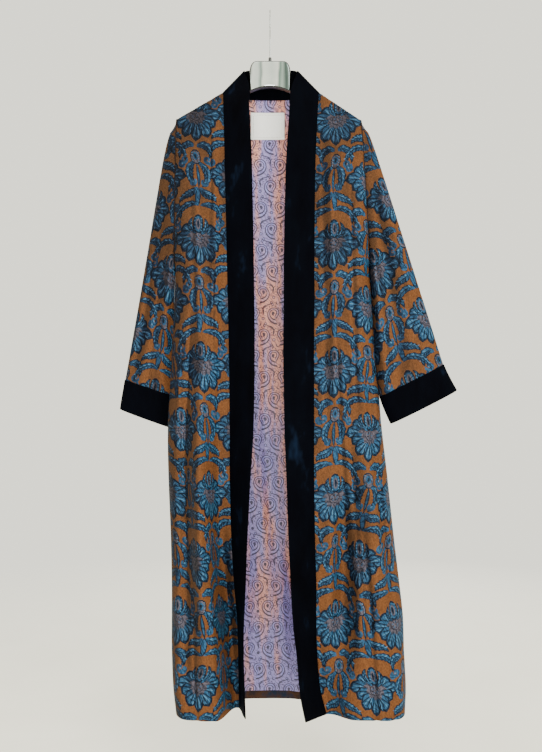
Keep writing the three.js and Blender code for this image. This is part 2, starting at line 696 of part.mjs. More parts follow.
// The middle line of the hook, which is bent across the arms: up the stem, out to the side at
// 45 degrees, over the rail, and straight down to the tip.
class HookCurve extends THREE.Curve {
  constructor() {
    super();
    this.radius = HOOK_INSIDE + WIRE / 2;
    this.foot = PLATE.top + FERRULE.height + 2 * SEAM;
    this.stem = -HOOK_INSIDE - this.radius * Math.SQRT2 - this.foot;
    this.bend = (5 / 4) * Math.PI;
    this.total = this.stem + this.radius * (1 + this.bend) + HOOK_TIP_DROP;
  }

  getPoint(t) {
    const { radius, foot, stem, bend, total } = this;
    const way = t * total;
    if (way < stem) return vector(0, 0, foot + way);
    if (way < stem + radius) {
      const on = (way - stem) / Math.SQRT2;
      return vector(0, on, foot + stem + on);
    }
    const turned = Math.min((way - stem) / radius - 1, bend);
    const angle = turned - Math.PI / 4;
    const beyond = Math.max(way - stem - radius * (1 + bend), 0);
    return vector(0, radius * Math.cos(angle), radius * Math.sin(angle) - HOOK_INSIDE - beyond);
  }
}

function wireSection() {
  const section = new THREE.Shape();
  section.absarc(0, 0, WIRE / 2, 0, 2 * Math.PI, false);
  return section;
}

// ---------------------------------------------------------------- the whole robe

const robe = new THREE.Group();

function add(name, geometry, material) {
  const mesh = new THREE.Mesh(geometry, new THREE.MeshStandardMaterial(colours[material]));
  mesh.name = name;
  robe.add(mesh);
}

add('back', panel(backGrid, backNormals, { top: true }), 'damask');
add('front_left', panel(left.grid, left.normals, { top: true, first: true }), 'damask');
add('front_right', panel(right.grid, right.normals, { top: true, first: true }), 'damask');
for (const [half, name] of [[LEFT, 'left'], [RIGHT, 'right']]) {
  const { sleeve, cuff } = sleeveAndCuff(half);
  add(`sleeve_${name}`, sleeve, 'sleeve');
  add(`cuff_${name}`, cuff, 'velvet');
}
add('neckband_left', bandLeft, 'velvet');
add('neckband_right', bandRight, 'velvet');
add('lining_back', wall(liningGrid, backNormals, LINING), 'lining');
add('label', labelOn(liningGrid), 'label');
add('hanger_plate', hangerPlate(), 'chrome');
add('hanger_arm_left', hangerArm(LEFT), 'plastic');
add('hanger_arm_right', hangerArm(RIGHT), 'plastic');
add('hanger_ferrule', hangerFerrule(), 'chrome');
add(
  'hanger_hook',
  new THREE.ExtrudeGeometry(wireSection(), {
    extrudePath: new HookCurve(),
    steps: 32,
    curveSegments: 4,
    bevelEnabled: false,
  }),
  'chrome',
);

export default robe;
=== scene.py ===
import math

import bmesh
import bpy
import numpy as np
from mathutils import Matrix, Vector
from mathutils.geometry import delaunay_2d_cdt


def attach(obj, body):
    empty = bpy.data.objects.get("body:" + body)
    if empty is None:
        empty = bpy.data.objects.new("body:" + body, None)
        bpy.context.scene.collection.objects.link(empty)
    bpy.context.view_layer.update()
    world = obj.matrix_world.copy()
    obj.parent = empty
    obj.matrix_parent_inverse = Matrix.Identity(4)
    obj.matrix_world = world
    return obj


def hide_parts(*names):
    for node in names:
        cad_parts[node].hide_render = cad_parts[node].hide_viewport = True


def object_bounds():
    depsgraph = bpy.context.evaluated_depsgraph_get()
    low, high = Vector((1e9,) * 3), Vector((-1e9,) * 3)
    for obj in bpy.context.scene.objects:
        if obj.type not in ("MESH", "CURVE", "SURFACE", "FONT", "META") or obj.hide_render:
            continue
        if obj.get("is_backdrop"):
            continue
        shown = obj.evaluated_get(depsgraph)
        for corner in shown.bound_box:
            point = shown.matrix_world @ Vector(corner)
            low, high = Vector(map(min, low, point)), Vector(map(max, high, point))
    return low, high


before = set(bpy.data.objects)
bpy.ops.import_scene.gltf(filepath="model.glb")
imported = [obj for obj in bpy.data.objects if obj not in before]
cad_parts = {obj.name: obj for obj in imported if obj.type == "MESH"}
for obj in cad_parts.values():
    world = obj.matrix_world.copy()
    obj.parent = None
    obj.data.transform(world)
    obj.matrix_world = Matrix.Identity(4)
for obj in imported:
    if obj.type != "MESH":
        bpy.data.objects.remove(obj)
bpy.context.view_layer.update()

# A kimono robe on a hanger. Sizes are in millimetres here, as in the part's own tables, and
# objects are made in metres. x runs to the viewer's right, y away from them, z up.

MM = 0.001

# ------------------------------------------------------------------ sizes of the part

CLOTH = 1.6
VELVET = 2.2
LINING = 1.0
SEAM = 0.3
ARMHOLE_GAP = 0.9
UNDERARM_GAP = 2
HEM_Z = -1455
UNDERARM_Z = -531
RIDGE = 8
FALL = 70
ARM_DEPTH = 22
FRONT_ROUND = 35
BACK_ROUND = 90
BAND_WIDTH = 62
NECK_DEPTH = 46
NECK_DROP = 3
BAND_LEAN = 0.7
LINING_SHORT = 18
LABEL = {"x": -5, "top": -198, "width": 71, "height": 57}
SLEEVE_DEPTH = 24


def table(columns, *rows):
    """A small table: one dict a row."""
    names = columns.split()
    return [dict(zip(names, row)) for row in rows]


LEFT = {"name": "left", "side": -1, "neck": (-97, -168), "tip": (-193, -224)}
RIGHT = {"name": "right", "side": 1, "neck": (101, -168), "tip": (188, -226)}
LEFT["cuts"] = table(
    "z seam depth turn side",
    (-168, -97, -28, 34, -191),
    (-250, -94, -30, 31, -197),
    (-330, -92, -34, 28, -199),
    (-531, -87, -40, 30, -196),
    (-700, -83, -45, 34, -203),
    (-860, -81, -46, 40, -212),
    (-960, -81, -44, 48, -211),
    (-1090, -78, -34, 59, -206),
    (-1190, -73, -18, 68, -204),
    (-1255, -68, -4, 76, -204),
    (-1320, -66, 8, 79, -204),
    (-1400, -65, 17, 78, -201),
    (-1455, -64, 20, 77, -195),
)
RIGHT["cuts"] = table(
    "z seam depth turn side",
    (-168, 98, -28, 24, 186),
    (-250, 95, -30, 21, 191),
    (-330, 92, -34, 18, 197),
    (-531, 90, -40, 10, 205),
    (-600, 90, -42, 10, 211),
    (-700, 89, -45, 10, 217),
    (-750, 89, -46, 12, 221),
    (-800, 89, -47, 15, 226.5),
    (-860, 89, -48, 18, 231.5),
    (-960, 89, -48, 27, 243),
    (-1090, 91, -45, 32, 257),
    (-1190, 94, -40, 35, 269),
    (-1255, 94, -35, 41, 276),
    (-1320, 96, -28, 48, 278),
    (-1400, 103, -18, 48, 282),
    (-1455, 116, -14, 45, 280),
)
BODY_DEPTH = table(
    "z front back",
    (-168, -34, 46),
    (-330, -42, 42),
    (-531, -46, 46),
    (-860, -50, 55),
    (-1190, -52, 68),
    (-1455, -50, 78),
)

# The folds of the part, then the finer creases that only this scene has.
FOLD = "start end fade high low y half"
LEFT["folds"] = table(
    FOLD,
    (-480, -1600, 700, 0.42, 0.5, -64, 0.27),
    (-900, -1600, 420, 0.22, 0.15, 36, 0.19),
    (-240, -1150, 200, 0.2, 0.3, -6, 0.1),
    (-700, -1600, 500, 0.75, 0.78, 10, 0.12),
    (-190, -460, 90, 0.3, 0.26, 3.0, 0.05),
    (-430, -1000, 160, 0.24, 0.3, 3.5, 0.045),
    (-260, -760, 150, 0.62, 0.5, -3.5, 0.08),
    (-560, -1300, 220, 0.66, 0.72, 4.5, 0.06),
    (-820, -1600, 260, 0.36, 0.34, -4.5, 0.06),
    (-600, -980, 140, 0.86, 0.8, -3.0, 0.05),
    (-1050, -1600, 200, 0.62, 0.64, 4.0, 0.05),
)
RIGHT["folds"] = table(
    FOLD,
    (-780, -1600, 600, 0.5, 0.22, 54, 0.2),
    (-640, -1600, 600, 0.72, 0.7, -18, 0.22),
    (-200, -1000, 200, 0.16, 0.2, 3.5, 0.09),
    (-560, -1300, 260, 0.8, 0.86, 8, 0.1),
    (-230, -860, 120, 0.3, 0.32, -3.5, 0.07),
    (-300, -900, 160, 0.72, 0.62, 3.5, 0.07),
    (-620, -1400, 200, 0.42, 0.5, -6.0, 0.07),
    (-900, -1600, 220, 0.86, 0.84, 5.0, 0.06),
    (-700, -1250, 160, 0.93, 0.9, -3.0, 0.05),
    (-1000, -1600, 200, 0.6, 0.62, 4.5, 0.05),
)
BACK_FOLDS = table(
    FOLD,
    (-700, -1600, 700, 0.17, 0.14, -26, 0.09),
    (-900, -1600, 500, 0.31, 0.28, -16, 0.07),
    (-760, -1600, 600, 0.38, 0.43, 12, 0.08),
    (-960, -1600, 460, 0.53, 0.56, -34, 0.07),
    (-620, -1600, 800, 0.7, 0.71, 10, 0.1),
    (-760, -1600, 700, 0.84, 0.85, -26, 0.08),
    (-260, -900, 200, 0.3, 0.34, 3.5, 0.04),
    (-240, -800, 200, 0.66, 0.62, 3.0, 0.045),
    (-420, -1200, 260, 0.47, 0.45, -4.0, 0.04),
    (-560, -1300, 240, 0.59, 0.6, 4.0, 0.03),
    (-640, -1600, 300, 0.23, 0.22, 4.5, 0.03),
    (-700, -1500, 300, 0.78, 0.77, -4.0, 0.03),
)

LEFT["sleeve"] = {
    "line": -208,
    "bulge": 0.054,
    "bends": [(-204.5, -604), (-204, -695)],
    "seam": {"outer": (-307, -766), "inner": (-190, -804), "y": 44},
    "edge": {"outer": (-318, -827), "inner": (-196, -871), "y": 48},
}
RIGHT["sleeve"] = {
    "line": 198,
    "bulge": 0.04,
    "bends": [(212, -590), (213, -735)],
    "seam": {"outer": (357, -734), "inner": (227, -800), "y": -12},
    "edge": {"outer": (384, -786), "inner": (250, -854), "y": -14},
}
# Folds along the sleeves, round them from the outer edge; grow is where along the sleeve each
# begins and ends.
CREASE = "at end half y grow fade"
LEFT["creases"] = table(
    CREASE,
    (0.2, 0.12, 0.07, 7, 0.0, 1.3),
    (0.34, 0.3, 0.06, -6, 0.0, 1.3),
    (0.7, 0.74, 0.08, -6, 0.0, 1.3),
    (0.14, 0.2, 0.035, -3.0, 0.1, 0.8),
    (0.27, 0.22, 0.03, 3.0, 0.35, 1.2),
    (0.42, 0.38, 0.035, 3.0, 0.2, 0.9),
    (0.62, 0.6, 0.04, 3.0, 0.1, 1.0),
    (0.85, 0.82, 0.04, -3.0, 0.3, 1.2),
)
RIGHT["creases"] = table(
    CREASE,
    (0.19, 0.3, 0.07, 8, 0.0, 1.3),
    (0.36, 0.4, 0.05, -5, 0.0, 1.3),
    (0.7, 0.76, 0.08, -6, 0.0, 1.3),
    (0.12, 0.16, 0.03, -3.0, 0.2, 1.0),
    (0.28, 0.36, 0.03, 3.0, 0.3, 1.1),
    (0.44, 0.46, 0.03, 2.5, 0.15, 0.8),
    (0.6, 0.62, 0.04, 3.0, 0.1, 1.0),
    (0.86, 0.84, 0.04, -3.0, 0.3, 1.2),
)

# ------------------------------------------------------------------ the cloth's surfaces


def mix(a, b, t):
    return a + (b - a) * t


def soft(t):
    """A smooth rise from 0 to 1."""
    t = np.clip(t, 0, 1)
    return t * t * t * (t * (t * 6 - 15) + 10)


def unit(vectors):
    return vectors / np.maximum(np.linalg.norm(vectors, axis=-1, keepdims=True), 1e-9)


def lengths_along(line):
    """How far along a line each of its points lies."""
    return np.concatenate([[0], np.cumsum(np.linalg.norm(np.diff(line, axis=0), axis=1))])


def at(rows, column, z):
    """Reads a column of a table at heights, on a smooth curve through its rows."""
    level = np.array([row["z"] for row in rows], float)
    value = np.array([row[column] for row in rows], float)
    slope = np.empty_like(value)
    slope[1:-1] = (value[2:] - value[:-2]) / (level[2:] - level[:-2])
    slope[0] = (value[1] - value[0]) / (level[1] - level[0])
    slope[-1] = (value[-1] - value[-2]) / (level[-1] - level[-2])
    z = np.clip(z, level[-1], level[0])
    row = np.clip(np.searchsorted(-level, -z, side="right") - 1, 0, len(level) - 2)
    height = level[row + 1] - level[row]
    t = (z - level[row]) / height
    start = (1 + 2 * t) * (1 - t) ** 2 * value[row] + t * t * (3 - 2 * t) * value[row + 1]
    bend = t * (1 - t) ** 2 * slope[row] - t * t * (1 - t) * slope[row + 1]
    return start + bend * height


def folds_at(folds, share, z):
    """How far a panel's folds push it out, at shares of its width and at heights."""
    y = np.zeros(np.broadcast(share, z).shape)
    for f in folds:
        way = np.clip((f["start"] - z) / (f["start"] - max(f["end"], HEM_Z)), 0, 1)
        grown = soft((f["start"] - z) / f["fade"]) * soft((z - f["end"]) / f["fade"])
        off = np.clip(np.abs(share - mix(f["high"], f["low"], way)) / f["half"], 0, 1)
        y = y + f["y"] * grown * np.cos(off * math.pi / 2) ** 2
    return y


def draped(full, drop, ridge=RIDGE):
    """The depth that cloth has reached after it bends over an edge and has fallen by a drop."""
    fold = np.minimum(ridge, np.abs(full))
    rest = np.abs(full) - fold
    curved = np.sqrt(np.clip(1 - (1 - np.clip(drop / RIDGE, 0, 1)) ** 2, 0, 1))
    spread = 1 - np.exp(-np.maximum(drop - RIDGE, 0) / FALL)
    return np.sign(full) * (fold * curved + rest * spread)


def arm_depth(z, top):
    """How far the armhole stands open, from the shoulder's tip to the underarm."""
    share = np.clip((top - z) / (top - UNDERARM_Z), 0, 1)
    return ARM_DEPTH * (4 * share * (1 - share)) ** 0.4


def side_edge(half, z):
    """x of a panel's outer edge: the armhole above the underarm, the side seam below it."""
    turned = soft((UNDERARM_Z - z) / 12)
    below = at(half["cuts"], "side", z) - half["side"] * (CLOTH / 2) * turned
    share = (half["tip"][1] - z) / (half["tip"][1] - UNDERARM_Z)
    underarm = at(half["cuts"], "side", np.array(float(UNDERARM_Z)))
    return np.where(z < UNDERARM_Z, below, mix(half["tip"][0], underarm, np.maximum(share, 0)))


FLAT = 0.74  # of a front's own measure, the stretch before it turns round to the side


def front_share(u, width):
    rounded = FRONT_ROUND / width
    flat = np.minimum(u / FLAT, 1)
    turn = np.clip((u - FLAT) / (1 - FLAT), 0, 1) * math.pi / 2
    return flat * (1 - rounded) + rounded * np.sin(turn), turn


def front_top(half, u):
    """The shoulder's edge of a front, from the neck to the tip."""
    (nx, nz), (tx, tz) = half["neck"], half["tip"]
    share, _ = front_share(u, abs(tx - nx))
    return mix(nx, tx, share), mix(nz, tz, share)


def front_surface(half):
    def point(u, z):
        top_x, top_z = front_top(half, u)

        def place(level):
            seam, side = at(half["cuts"], "seam", level), side_edge(half, level)
            share, turn = front_share(u, np.abs(side - seam))
            return mix(seam, side, share), share, turn

        shift = top_x - place(top_z)[0]
        x, share, turn = place(z)
        flat = mix(at(half["cuts"], "depth", z), at(BODY_DEPTH, "front", z), soft(share / 0.35))
        full = draped(flat + folds_at(half["folds"], share, z), top_z - z)
        y = mix(-arm_depth(z, top_z), full, np.cos(turn))
        x = x + shift * np.exp(np.minimum((z - top_z) / FALL, 0))
        return np.stack(np.broadcast_arrays(x, y, z), -1)

    return point


def neck_point(turn):
    """The curve of the back's neck, from left (0) to right (pi)."""
    middle = (LEFT["neck"][0] + RIGHT["neck"][0]) / 2
    reach = (RIGHT["neck"][0] - LEFT["neck"][0]) / 2
    turn = np.asarray(turn, float)
    parts = (
        middle - reach * np.cos(turn),
        NECK_DEPTH * np.sin(turn),
        LEFT["neck"][1] - NECK_DROP * np.sin(turn),
    )
    return np.stack(parts, -1)


TOP_STEPS, SHOULDER_STEPS = 20, 5  # the back's top edge, and each shoulder's part of it


def back_top(u):
    """The back's top edge: the left shoulder, the neck, and the right shoulder."""
    place = np.asarray(u, float) * TOP_STEPS
    left = np.clip(1 - place / SHOULDER_STEPS, 0, 1)
    right = np.clip((place - (TOP_STEPS - SHOULDER_STEPS)) / SHOULDER_STEPS, 0, 1)
    round_neck = (place - SHOULDER_STEPS) / (TOP_STEPS - 2 * SHOULDER_STEPS)
    top = neck_point(np.clip(round_neck, 0, 1) * math.pi)
    for half, share in ((LEFT, left), (RIGHT, right)):
        (nx, nz), (tx, tz) = half["neck"], half["tip"]
        on = share > 0
        top[..., 0] = np.where(on, mix(nx, tx, share), top[..., 0])
        top[..., 1] = np.where(on, 0, top[..., 1])
        top[..., 2] = np.where(on, mix(nz, tz, share), top[..., 2])
    return top


def back_surface(u, z):
    top = back_top(u)
    top_y, top_z = np.maximum(top[..., 1], 0), top[..., 2]
    share = u - 0.045 * np.sin(2 * math.pi * u)
    left, right = side_edge(LEFT, z), side_edge(RIGHT, z)
    x = mix(left, right, share)
    inside = np.minimum(x - left, right - x)
    turned = np.sqrt(np.clip(1 - (1 - np.clip(inside / BACK_ROUND, 0, 1)) ** 2, 0, 1))
    full = at(BODY_DEPTH, "back", z) + folds_at(BACK_FOLDS, share, z)
    ridge = RIDGE * (1 - top_y / NECK_DEPTH)
    hung = top_y + draped(full - top_y, top_z - z, ridge)
    y = mix(arm_depth(z, top_z), hung, turned)
    start = mix(side_edge(LEFT, top_z), side_edge(RIGHT, top_z), share)
    x = x + (top[..., 0] - start) * np.exp(np.minimum((z - top_z) / FALL, 0))
    return np.stack(np.broadcast_arrays(x, y, z), -1)


def outer_end(half, t):
    sleeve = half["sleeve"]
    (ox, oz), tip = sleeve["seam"]["outer"], half["tip"]
    rounding = (tip[0] - sleeve["line"]) * np.exp(-t / sleeve["bulge"])
    return mix(sleeve["line"], ox, t) + rounding, mix(tip[1], oz, t)


def inner_end(half, t):
    start = (float(side_edge(half, np.array(float(UNDERARM_Z)))), UNDERARM_Z)
    points = [start, *half["sleeve"]["bends"], half["sleeve"]["seam"]["inner"]]
    weights = ((1 - t) ** 3, 3 * t * (1 - t) ** 2, 3 * t * t * (1 - t), t**3)
    x = sum(w * p[0] for w, p in zip(weights, points))
    z = sum(w * p[1] for w, p in zip(weights, points))
    return x, z


def sleeve_surface(half):
    """Points on a sleeve (t from 0 to 1) and its cuff (t from 1 to 2), round from the outer edge."""
    seam, edge = half["sleeve"]["seam"], half["sleeve"]["edge"]

    def point(around, t):
        on, cuff = np.clip(t, 0, 1), np.clip(t - 1, 0, 1)
        ends = []
        for name, end in (("outer", outer_end), ("inner", inner_end)):
            x, z = end(half, on)
            ends.append((mix(x, edge[name][0], cuff), mix(z, edge[name][1], cuff)))
        (ox, oz), (ix, iz) = ends
        turn = around * 2 * math.pi
        across = (1 - np.cos(turn)) / 2
        x, z = mix(ox, ix, across), mix(oz, iz, across)
        bow = np.sign(np.sin(turn)) * np.abs(np.sin(turn)) ** 0.8
        along = on + 0.15 * cuff
        crease = np.zeros(np.broadcast(around, t).shape)
        for f in half["creases"]:
            gap = np.abs((around - mix(f["at"], f["end"], along) + 0.5) % 1 - 0.5)
            off = np.clip(gap / f["half"], 0, 1)
            grown = soft((along - f["grow"]) / 0.3) * soft((f["fade"] - along) / 0.3)
            crease = crease + f["y"] * np.cos(off * math.pi / 2) ** 2 * grown
        y = mix(seam["y"] * np.sin(on * math.pi / 2), edge["y"], cuff)
        y = y - mix(ARM_DEPTH, SLEEVE_DEPTH, on) * bow + crease * soft((1.15 - along) / 0.3)
        first = half["side"] * (ARMHOLE_GAP + UNDERARM_GAP * across**3)
        x = mix(x, side_edge(half, z) + first, np.clip(1 - on / 0.05, 0, 1))
        return np.stack(np.broadcast_arrays(x, y, z), -1)

    return point


def normals_of(point, a, b, facing, step=(1e-3, 0.5)):
    """Unit normals of a surface by small steps in both of its measures."""
    da = point(a + step[0], b) - point(a - step[0], b)
    db = point(a, b + step[1]) - point(a, b - step[1])
    return unit(np.cross(da, db) * facing)


class Cut:
    """A panel laid flat. s runs across it and t down it, in millimetres; u and v are the
    measures of its surface. rows are the levels of v at which the panel's width is measured."""

    def __init__(self, point, rows, drops, zero, facing, top=None, step=(1e-3, 0.5)):
        self.point, self.facing, self.step = point, facing, step
        self.rows, self.drops = np.asarray(rows, float), np.asarray(drops, float)
        self.columns = np.linspace(0, 1, 161)
        grid = point(self.columns[None, :], self.rows[:, None])
        lengths = np.linalg.norm(np.diff(grid, axis=1), axis=-1)
        self.s = np.concatenate([np.zeros((len(rows), 1)), np.cumsum(lengths, 1)], 1)
        middle = np.array([np.interp(zero, self.columns, row) for row in self.s])
        self.s -= middle[:, None]
        self.top = top
        self.outline = self._outline()

    def _outline(self):
        """The panel's outline, as points (s, t) in order."""
        t = self.drops
        if self.top is None:
            upper = np.stack([self.s[0], np.full(len(self.columns), t[0])], -1)
        else:
            v = self.top(self.columns)
            drop = np.interp(v, self.rows[::-1], t[::-1])
            index = np.interp(drop, t, np.arange(len(t)))
            low = np.clip(index.astype(int), 0, len(t) - 2)
            c = np.arange(len(self.columns))
            s = mix(self.s[low, c], self.s[low + 1, c], index - low)
            upper = np.stack([s, drop], -1)
        first, last = upper[0, 1], upper[-1, 1]
        right = np.stack([self.s[:, -1], t], -1)[t > last + 2]
        left = np.stack([self.s[:, 0], t], -1)[t > first + 2]
        lower = np.stack([self.s[-1], np.full(len(self.columns), t[-1])], -1)
        loop = np.concatenate([upper, right[:-1], lower[::-1], left[:-1][::-1]])
        return spaced(loop, 7.0)

    def measures(self, st):
        """The surface's measures u and v at flat points."""
        t = np.clip(st[:, 1], self.drops[0], self.drops[-1])
        index = np.interp(t, self.drops, np.arange(len(self.drops)))
        low = np.clip(index.astype(int), 0, len(self.drops) - 2)
        u = np.zeros((2, len(st)))
        for k in (0, 1):
            row = low + k
            for r in np.unique(row):
                on = row == r
                u[k, on] = np.interp(st[on, 0], self.s[r], self.columns)
        u = mix(u[0], u[1], index - low)
        v = np.interp(t, self.drops, self.rows)
        if self.top is not None:
            v = np.minimum(v, self.top(u))
        return u, v

    def place(self, st, out=0.0):
        u, v = self.measures(st)
        within = np.clip(u, self.step[0], 1 - self.step[0])
        normal = normals_of(self.point, within, v, self.facing, self.step)
        return self.point(u, v) + normal * np.asarray(out).reshape(-1, 1), normal


def spaced(loop, step):
    """A closed line with its points about a step apart."""
    closed = np.concatenate([loop, loop[:1]])
    length = lengths_along(closed)
    keep = np.concatenate([[True], np.diff(length) > 1e-6])
    closed, length = closed[keep], length[keep]
    corners = [0]
    heading = np.diff(closed, axis=0)
    turn = np.abs(np.diff(np.unwrap(np.arctan2(heading[:, 1], heading[:, 0]))))
    corners += [i + 1 for i in np.nonzero(turn > 0.35)[0]] + [len(closed) - 1]
    parts = []
    for a, b in zip(corners, corners[1:]):
        if b <= a:
            continue
        n = max(1, round((length[b] - length[a]) / step))
        along = np.linspace(length[a], length[b], n + 1)[:-1]
        parts.append(np.stack([np.interp(along, length, closed[:, k]) for k in (0, 1)], -1))
    return np.concatenate(parts)


def inside(polygon, points):
    """Which points lie in a polygon."""
    x, y = points[:, 0][:, None], points[:, 1][:, None]
    x1, y1 = polygon[:, 0][None, :], polygon[:, 1][None, :]
    x2, y2 = np.roll(x1, -1, 1), np.roll(y1, -1, 1)
    spans = (y1 > y) != (y2 > y)
    with np.errstate(divide="ignore", invalid="ignore"):
        cross = x < (x2 - x1) * (y - y1) / (y2 - y1) + x1
    return (np.sum(spans & cross, 1) % 2) == 1


# ------------------------------------------------------------------ the woven figures

TONES = 5
GROUND, TAUPE, NAVY, BLUE, LIGHT = range(TONES)


def bezier(points, n):
    t = np.linspace(0, 1, n)[:, None]
    layers = [np.tile(np.array(p, float), (n, 1)) for p in points]
    while len(layers) > 1:
        layers = [a * (1 - t) + b * t for a, b in zip(layers, layers[1:])]
    return layers[0]


def blade(path, half, peak=1.0, teeth=0, bite=0.35, grow=0.0):
    """The outline of a leaf, petal or stroke along a path. peak moves its widest place."""
    n = len(path)
    u = np.linspace(0, 1, n)
    width = half * np.sin(math.pi * u**peak) ** 0.75 + grow * np.sin(math.pi * u) ** 0.4
    if teeth:
        width = width * (1 - bite * (0.5 + 0.5 * np.cos(2 * math.pi * teeth * u)))
    heading = unit(np.gradient(path, axis=0))
    across = np.stack([-heading[:, 1], heading[:, 0]], -1) * width[:, None]
    return np.concatenate([path[:1], (path + across)[1:-1], path[-1:], (path - across)[1:-1][::-1]])


def dot(x, y, radius, n=7, tall=1.0):
    turn = np.arange(n) / n * 2 * math.pi
    return np.stack([x + radius * np.cos(turn), y + radius * tall * np.sin(turn)], -1)


def coil(x, y, radius, turns, start, way, width):
    """A curl: a stroke that winds in to a small blob."""
    n = int(11 * turns) + 3
    u = np.linspace(0, 1, n)
    angle = start + way * u * turns * 2 * math.pi
    r = radius * (1 - u) ** 0.8 + 1.2
    path = np.stack([x + r * np.cos(angle), y + r * np.sin(angle)], -1)
    return [(BLUE, blade(path, width, 0.6, grow=0.9)), (LIGHT, dot(*path[-1], 1.9, 6))]


def leaf(points, half, teeth):
    """An acanthus leaf with an outline, a midrib and side veins."""
    n = 2 * teeth + 3
    path = bezier(points, n)
    shapes = [
        (NAVY, blade(path, half + 1.3, 0.8, teeth, 0.24)),
        (BLUE, blade(path[:-1], half - 0.3, 0.8, teeth, 0.4)),
    ]
    heading = unit(np.gradient(path, axis=0))
    for k in range(1, teeth):
        i = min(2 * k + 1, n - 3)
        across = np.array([-heading[i, 1], heading[i, 0]])
        for way in (-1, 1):
            tip = path[i] + way * across * half * 0.85 + heading[i] * half * 0.5
            vein = np.array([path[i - 1], (path[i] + tip) / 2, tip])
            shapes.append((LIGHT if way > 0 else NAVY, blade(vein, 1.2)))
    shapes.append((NAVY, blade(path[1:-1], 1.0)))
    return shapes


def petal(angle, near, far, half, bend=0.0):
    """One scalloped petal of the fan, with its veins."""
    turn = math.radians(angle)
    along = np.array([math.cos(turn), math.sin(turn)])
    across = np.array([-along[1], along[0]])
    path = bezier([along * near, along * (near + far) / 2 + across * bend, along * far], 9)
    shapes = [
        (NAVY, blade(path, half + 1.0, 1.35, 3, 0.12)),
        (BLUE, blade(path[:-1], half - 1.0, 1.35, 3, 0.2)),
        (TAUPE, blade(path[:4], half * 0.45)),
    ]
    for way in (-0.75, -0.38, 0.0, 0.38, 0.75):
        tip = along * (far - 4 - 7 * abs(way)) + across * half * way * 1.15
        root = along * (near + (14 if abs(way) == 0.38 else 7))
        vein = bezier([root, along * far * 0.66 + across * half * way, tip], 4)
        shapes.append((LIGHT if abs(way) == 0.38 else NAVY, blade(vein, 1.2)))
    return shapes


def mirrored(shapes):
    return shapes + [(tone, polygon[::-1] * (-1, 1)) for tone, polygon in shapes]


def warped(shapes, phase):
    """The same shapes, a little uneven as a weaver's cards leave them."""
    made = []
    for tone, polygon in shapes:
        x, y = polygon[:, 0], polygon[:, 1]
        shift = np.stack([np.sin(y / 17 + phase), np.sin(x / 13 + 2 * phase)], -1)
        made.append((tone, polygon + 2.4 * shift))
    return made


def lotus(far=52, half=14.5):
    """The large flower about its middle: a fan of petals to the sides and down, a pod above, and
    two feathered leaves that arch over it."""
    shapes = mirrored(leaf([(1, 62), (27, 74), (52, 56), (50, 26)], 7.0, 7))
    shapes += mirrored(coil(45, 20, 6.5, 1.1, 1.2, 1, 2.4))
    for angle, reach in ((24, 0.8), (-6, 1.1), (-36, 0.94), (-65, 1.1)):
        shapes += mirrored(petal(angle, 8, far * reach, half, 4.0))
    shapes += petal(-90, 8, far * 1.2, half * 0.85)
    shapes += mirrored(leaf([(4, 4), (18, 12), (22, 28), (12, 38)], 5.0, 4))
    shapes += [(NAVY, dot(0, 24, 11.5, 12, 1.75)), (BLUE, dot(0, 24, 9.0, 12, 1.8))]
    shapes += [(TAUPE, dot(0, 24, 5.4, 8, 2.2)), (NAVY, dot(0, 24, 2.6, 6, 3.2))]
    shapes += mirrored([(LIGHT, dot(6.8, 36 - 6 * i, 1.6, 4)) for i in range(5)])
    shapes += [(NAVY, dot(0, -5, 12, 12, 0.95)), (TAUPE, dot(0, -5, 10.8, 12, 0.95))]
    for k in range(9):
        ray = np.array([math.cos(k * 0.7), 0.9 * math.sin(k * 0.7)])
        stroke = np.array([(0, -5) + ray * w for w in (3, 6, 9.5)])
        shapes.append((NAVY if k % 2 else BLUE, blade(stroke, 1.3)))
    return shapes


def column(width=1.0):
    """The acanthus scrolls and the urn that join a flower to the next one below it."""
    shapes = mirrored(leaf([(3, -74), (16, -60), (34, -72), (33, -96)], 8.6, 5))
    shapes += mirrored(coil(25, -99, 7.5, 1.2, 0.4, -1, 2.8))
    shapes += mirrored(leaf([(3, -106), (22, -114), (24, -142), (6, -158)], 8.2, 6))
    shapes += mirrored(coil(13, -148, 6.0, 1.1, 2.0, 1, 2.4))
    shapes += mirrored(leaf([(3, -158), (12, -178), (33, -166), (40, -188)], 8.6, 6))
    shapes += [(NAVY, dot(0, -95, 11, 10, 1.5)), (TAUPE, dot(0, -95, 9.2, 10, 1.5))]
    shapes += [(BLUE, dot(0, -93, 5.4, 7, 1.7)), (NAVY, dot(0, -93, 2.4, 5, 2.2))]
    shapes += mirrored([(LIGHT, dot(6.4, -86 - 6 * i, 1.4, 4)) for i in range(4)])
    shapes += [(NAVY, blade(bezier([(0, -108), (1, -134), (0, -162)], 6), 3.8))]
    shapes += [(BLUE, blade(bezier([(0, -112), (1, -134), (0, -156)], 6), 1.8))]
    shapes += [(NAVY, blade(bezier([(0, -156), (1, -176), (0, -198)], 7), 7.0, 1.4, 3, 0.2))]
    shapes += [(BLUE, blade(bezier([(0, -160), (1, -176), (0, -194)], 6), 4.6))]
    return [(tone, polygon * (width, 1)) for tone, polygon in shapes]


FLOWERS = (
    warped(lotus() + column(), 0.4),
    warped(lotus(49, 13.5) + column(1.08), 2.1),
)
REPEAT = (150, 258)  # the second flower stands half a repeat across and down from the first


